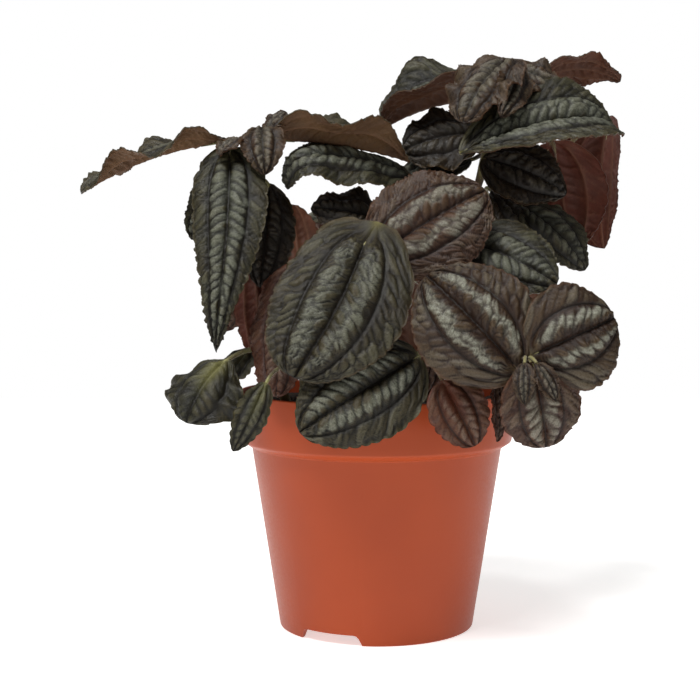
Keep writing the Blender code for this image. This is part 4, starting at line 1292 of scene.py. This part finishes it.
class PLANT_OT_potting_mix(bpy.types.Operator):
    """Add the potting mix that fills the pot"""

    bl_idname = "plant.potting_mix"
    bl_label = "Potting mix"

    def execute(self, context):
        settings = context.scene.plant_pot
        top = settings.soil_top / MM
        base = settings.base_radius / MM
        edge = (settings.rim_low_radius - settings.wall) / MM
        inset = settings.wall / MM + GAP
        floor = BASE_PLATE_TOP + GAP
        side = [(0.0, floor), (base + 0.9 - inset, floor),
                (BODY_TOP_RADIUS - GAP - inset, RIM_UNDER_HEIGHT),
                (edge - 0.8, RIM_STEP_HEIGHT + 1.4), (edge, top - 1.5)]
        rings = [(edge * share, top) for share in np.linspace(1.0, 0.0, SOIL_RINGS + 2)[1:-1] ** 0.8]
        profile = side + rings + [(0.0, top)]
        sides = SOIL_SIDES
        points = turned_points(profile, sides)
        x, y, z = points[:, 0], points[:, 1], points[:, 2]
        inside = smooth_step((edge - np.hypot(x, y)) / 2.5)
        random = np.random.default_rng(SOIL_SEED)
        fine = ripple(x, y, random, 5.0) * 0.5 + ripple(x, y, random, 2.6) * 0.35
        raised = z > top - 0.1
        points[:, 2] = np.where(raised, z + (soil_lump(x, y) + fine * inside), z)
        mesh = solid_mesh("potting_mix", points, turned_faces(len(profile) - 2, sides))
        mesh.materials.append(peat(settings))
        mesh.shade_smooth()
        piece("peat_fill", mesh, "potting_mix", "potting_mix")
        return {"FINISHED"}


def scatter_tree(name, mesh_of, settings, material):
    """A tree that scatters small copies of a shape on a surface, each turned and sized at random."""
    tree = bpy.data.node_groups.new(name, "GeometryNodeTree")
    tree.interface.new_socket("Geometry", in_out="INPUT", socket_type="NodeSocketGeometry")
    sockets = {}
    for label, value in settings.items():
        kind = "NodeSocketInt" if isinstance(value, int) else "NodeSocketFloat"
        socket = tree.interface.new_socket(label, in_out="INPUT", socket_type=kind)
        socket.default_value = value
        sockets[label] = socket.identifier
    tree.interface.new_socket("Geometry", in_out="OUTPUT", socket_type="NodeSocketGeometry")
    start = add_node(tree, "NodeGroupInput")
    points = add_node(tree, "GeometryNodeDistributePointsOnFaces",
                      {"Mesh": start.outputs["Geometry"], "Density": start.outputs["Density"],
                       "Seed": start.outputs["Seed"]})
    shape = mesh_of(tree, start)
    wobble = add_node(tree, "FunctionNodeRandomValue", {0: (-1.0, -1.0, -1.0), 1: (1.0, 1.0, 1.0),
                                                        "Seed": start.outputs["Seed"]},
                      data_type="FLOAT_VECTOR")
    spread = add_node(tree, "ShaderNodeVectorMath", {0: wobble.outputs[0], "Scale": start.outputs["Lean"]},
                      operation="SCALE")
    up = add_node(tree, "ShaderNodeVectorMath", {0: points.outputs["Normal"], 1: spread.outputs[0]},
                  operation="ADD")
    turn = add_node(tree, "FunctionNodeAlignRotationToVector", {"Vector": up.outputs[0]}, axis="Z")
    size = add_node(tree, "FunctionNodeRandomValue", {2: start.outputs["Smallest"], 3: 1.0,
                                                      "Seed": start.outputs["Seed"]}, data_type="FLOAT")
    copies = add_node(tree, "GeometryNodeInstanceOnPoints",
                      {"Points": points.outputs["Points"], "Instance": shape,
                       "Rotation": turn.outputs[0], "Scale": size.outputs[1]})
    plain = add_node(tree, "GeometryNodeRealizeInstances", {"Geometry": copies.outputs["Instances"]})
    done = add_node(tree, "GeometryNodeSetMaterial", {"Geometry": plain.outputs["Geometry"],
                                                      "Material": material})
    add_node(tree, "NodeGroupOutput", {"Geometry": done.outputs["Geometry"]})
    return tree, sockets


def scattered(carrier, tree, sockets, values):
    """The plain mesh that a tree makes on a copy of a surface."""
    modifier = carrier.modifiers.new("scatter", "NODES")
    modifier.node_group = tree
    for label, value in values.items():
        modifier[sockets[label]] = value
    bpy.context.view_layer.update()
    mesh = bpy.data.meshes.new_from_object(carrier.evaluated_get(bpy.context.evaluated_depsgraph_get()))
    bpy.data.objects.remove(carrier)
    return mesh


def carrier_of(name, points, faces):
    """A scratch surface for a scatter, from points in metres."""
    mesh = bpy.data.meshes.new(name)
    mesh.from_pydata([tuple(p) for p in points], [], [tuple(int(c) for c in f) for f in faces])
    mesh.update()
    made = bpy.data.objects.new(name, mesh)
    bpy.context.scene.collection.objects.link(made)
    return made


class PLANT_OT_crumbs(bpy.types.Operator):
    """Strew crumbs of peat over the potting mix"""

    bl_idname = "plant.crumbs"
    bl_label = "Crumbs"

    def execute(self, context):
        settings = context.scene.plant_pot
        top = settings.soil_top / MM
        radius = (settings.rim_low_radius - settings.wall - settings.crumb) / MM
        rings = CRUMB_BED_RINGS
        sides = CRUMB_BED_SIDES
        profile = [(0.0, top)] + [(radius * (ring + 1) / rings, top) for ring in range(rings)]
        points = turned_points(profile + [(0.0, top)], sides)[:-1]
        points[:, 2] += soil_lump(points[:, 0], points[:, 1])
        faces = []
        for side in range(sides):
            after = (side + 1) % sides
            faces.append((0, 1 + side, 1 + after))
            for ring in range(rings - 1):
                start = 1 + ring * sides
                faces.append((start + side, start + sides + side, start + sides + after, start + after))
        carrier = carrier_of("crumb_bed", (points + POT_PLACE) * MM, faces)

        def crumb(tree, start):
            ball = add_node(tree, "GeometryNodeMeshIcoSphere", {"Radius": start.outputs["Radius"],
                                                                "Subdivisions": 1})
            uneven = add_node(tree, "GeometryNodeTransform", {"Geometry": ball.outputs["Mesh"],
                                                              "Scale": (1.0, 0.8, 0.65)})
            return uneven.outputs["Geometry"]

        values = {"Density": 0.22 / MM ** 2, "Seed": 4, "Lean": 2.0, "Smallest": 0.3,
                  "Radius": settings.crumb / 2.0}
        tree, sockets = scatter_tree("peat_crumbs", crumb, values, peat(settings))
        mesh = scattered(carrier, tree, sockets, values)
        piece("peat_crumbs", mesh, "potting_mix")
        return {"FINISHED"}


class PLANT_OT_leafy_stems(bpy.types.Operator):
    """Add the leafy stems with their quilted leaves"""

    bl_idname = "plant.leafy_stems"
    bl_label = "Leafy stems"

    def execute(self, context):
        settings = context.scene.plant_leaves
        materials = [leaf_upper(settings), leaf_under(settings), leaf_stalk(settings)]
        for number, stem in enumerate(STEMS):
            random = np.random.default_rng(LEAF_SEED + number)
            parts = MeshParts()
            add_stem(parts, stem)
            for leaf in stem.leaves:
                add_leaf(parts, leaf, settings, random)
            name = stem.name.replace(STEM_PREFIX, "foliage_")
            mesh = parts.mesh(name)
            for made in materials:
                mesh.materials.append(made)
            piece(name, mesh, "leaf", stem.name)
        return {"FINISHED"}


class PLANT_OT_hairs(bpy.types.Operator):
    """Add the fine hairs on the stems and petioles"""

    bl_idname = "plant.hairs"
    bl_label = "Hairs"

    def execute(self, context):
        settings = context.scene.plant_leaves
        parts = MeshParts()
        for stem in STEMS:
            add_stem(parts, stem)
        mesh = parts.mesh("hair_bed")
        made = bpy.data.objects.new("hair_bed", mesh)
        context.scene.collection.objects.link(made)

        def hair(tree, start):
            spike = add_node(tree, "GeometryNodeMeshCone", {"Vertices": 3, "Radius Top": 0.0,
                                                            "Radius Bottom": start.outputs["Radius"],
                                                            "Depth": start.outputs["Length"]},
                             fill_type="NGON")
            return spike.outputs["Mesh"]

        values = {"Density": 0.9 / MM ** 2, "Seed": 7, "Lean": 0.45, "Smallest": 0.35,
                  "Radius": 0.045 * MM, "Length": settings.hair_length}
        tree, sockets = scatter_tree("stem_hairs", hair, values, leaf_hair(settings))
        piece("stem_hairs", scattered(made, tree, sockets, values), "leaf")
        return {"FINISHED"}


class PLANT_PT_panel(bpy.types.Panel):
    """Lists the plant's pieces and their settings"""

    bl_idname = "PLANT_PT_panel"
    bl_label = "Friendship Plant"
    bl_space_type = "VIEW_3D"
    bl_region_type = "UI"
    bl_category = "Plant"

    def draw(self, context):
        layout = self.layout
        for operator in OPERATORS:
            layout.operator(operator.bl_idname)
        for owner in (context.scene.plant_pot, context.scene.plant_leaves, context.scene.plant_stage):
            box = layout.box()
            for name in owner.bl_rna.properties.keys():
                if name not in ("rna_type", "name"):
                    box.prop(owner, name)


OPERATORS = (PLANT_OT_stage, PLANT_OT_pot, PLANT_OT_potting_mix, PLANT_OT_crumbs,
             PLANT_OT_leafy_stems, PLANT_OT_hairs)
GROUPS = (PotSettings, LeafSettings, StageSettings)


def register():
    """Register the classes and hang the settings on the scene."""
    for made in GROUPS + OPERATORS + (PLANT_PT_panel,):
        bpy.utils.register_class(made)
    bpy.types.Scene.plant_pot = PointerProperty(type=PotSettings)
    bpy.types.Scene.plant_leaves = PointerProperty(type=LeafSettings)
    bpy.types.Scene.plant_stage = PointerProperty(type=StageSettings)


def unregister():
    """Take the settings and the classes away again."""
    del bpy.types.Scene.plant_stage
    del bpy.types.Scene.plant_leaves
    del bpy.types.Scene.plant_pot
    for made in reversed(GROUPS + OPERATORS + (PLANT_PT_panel,)):
        bpy.utils.unregister_class(made)


def main():
    """Make every piece in order."""
    register()
    bpy.ops.plant.stage()
    bpy.ops.plant.pot()
    bpy.ops.plant.potting_mix()
    bpy.ops.plant.crumbs()
    bpy.ops.plant.leafy_stems()
    bpy.ops.plant.hairs()


if __name__ == "__main__":
    main()
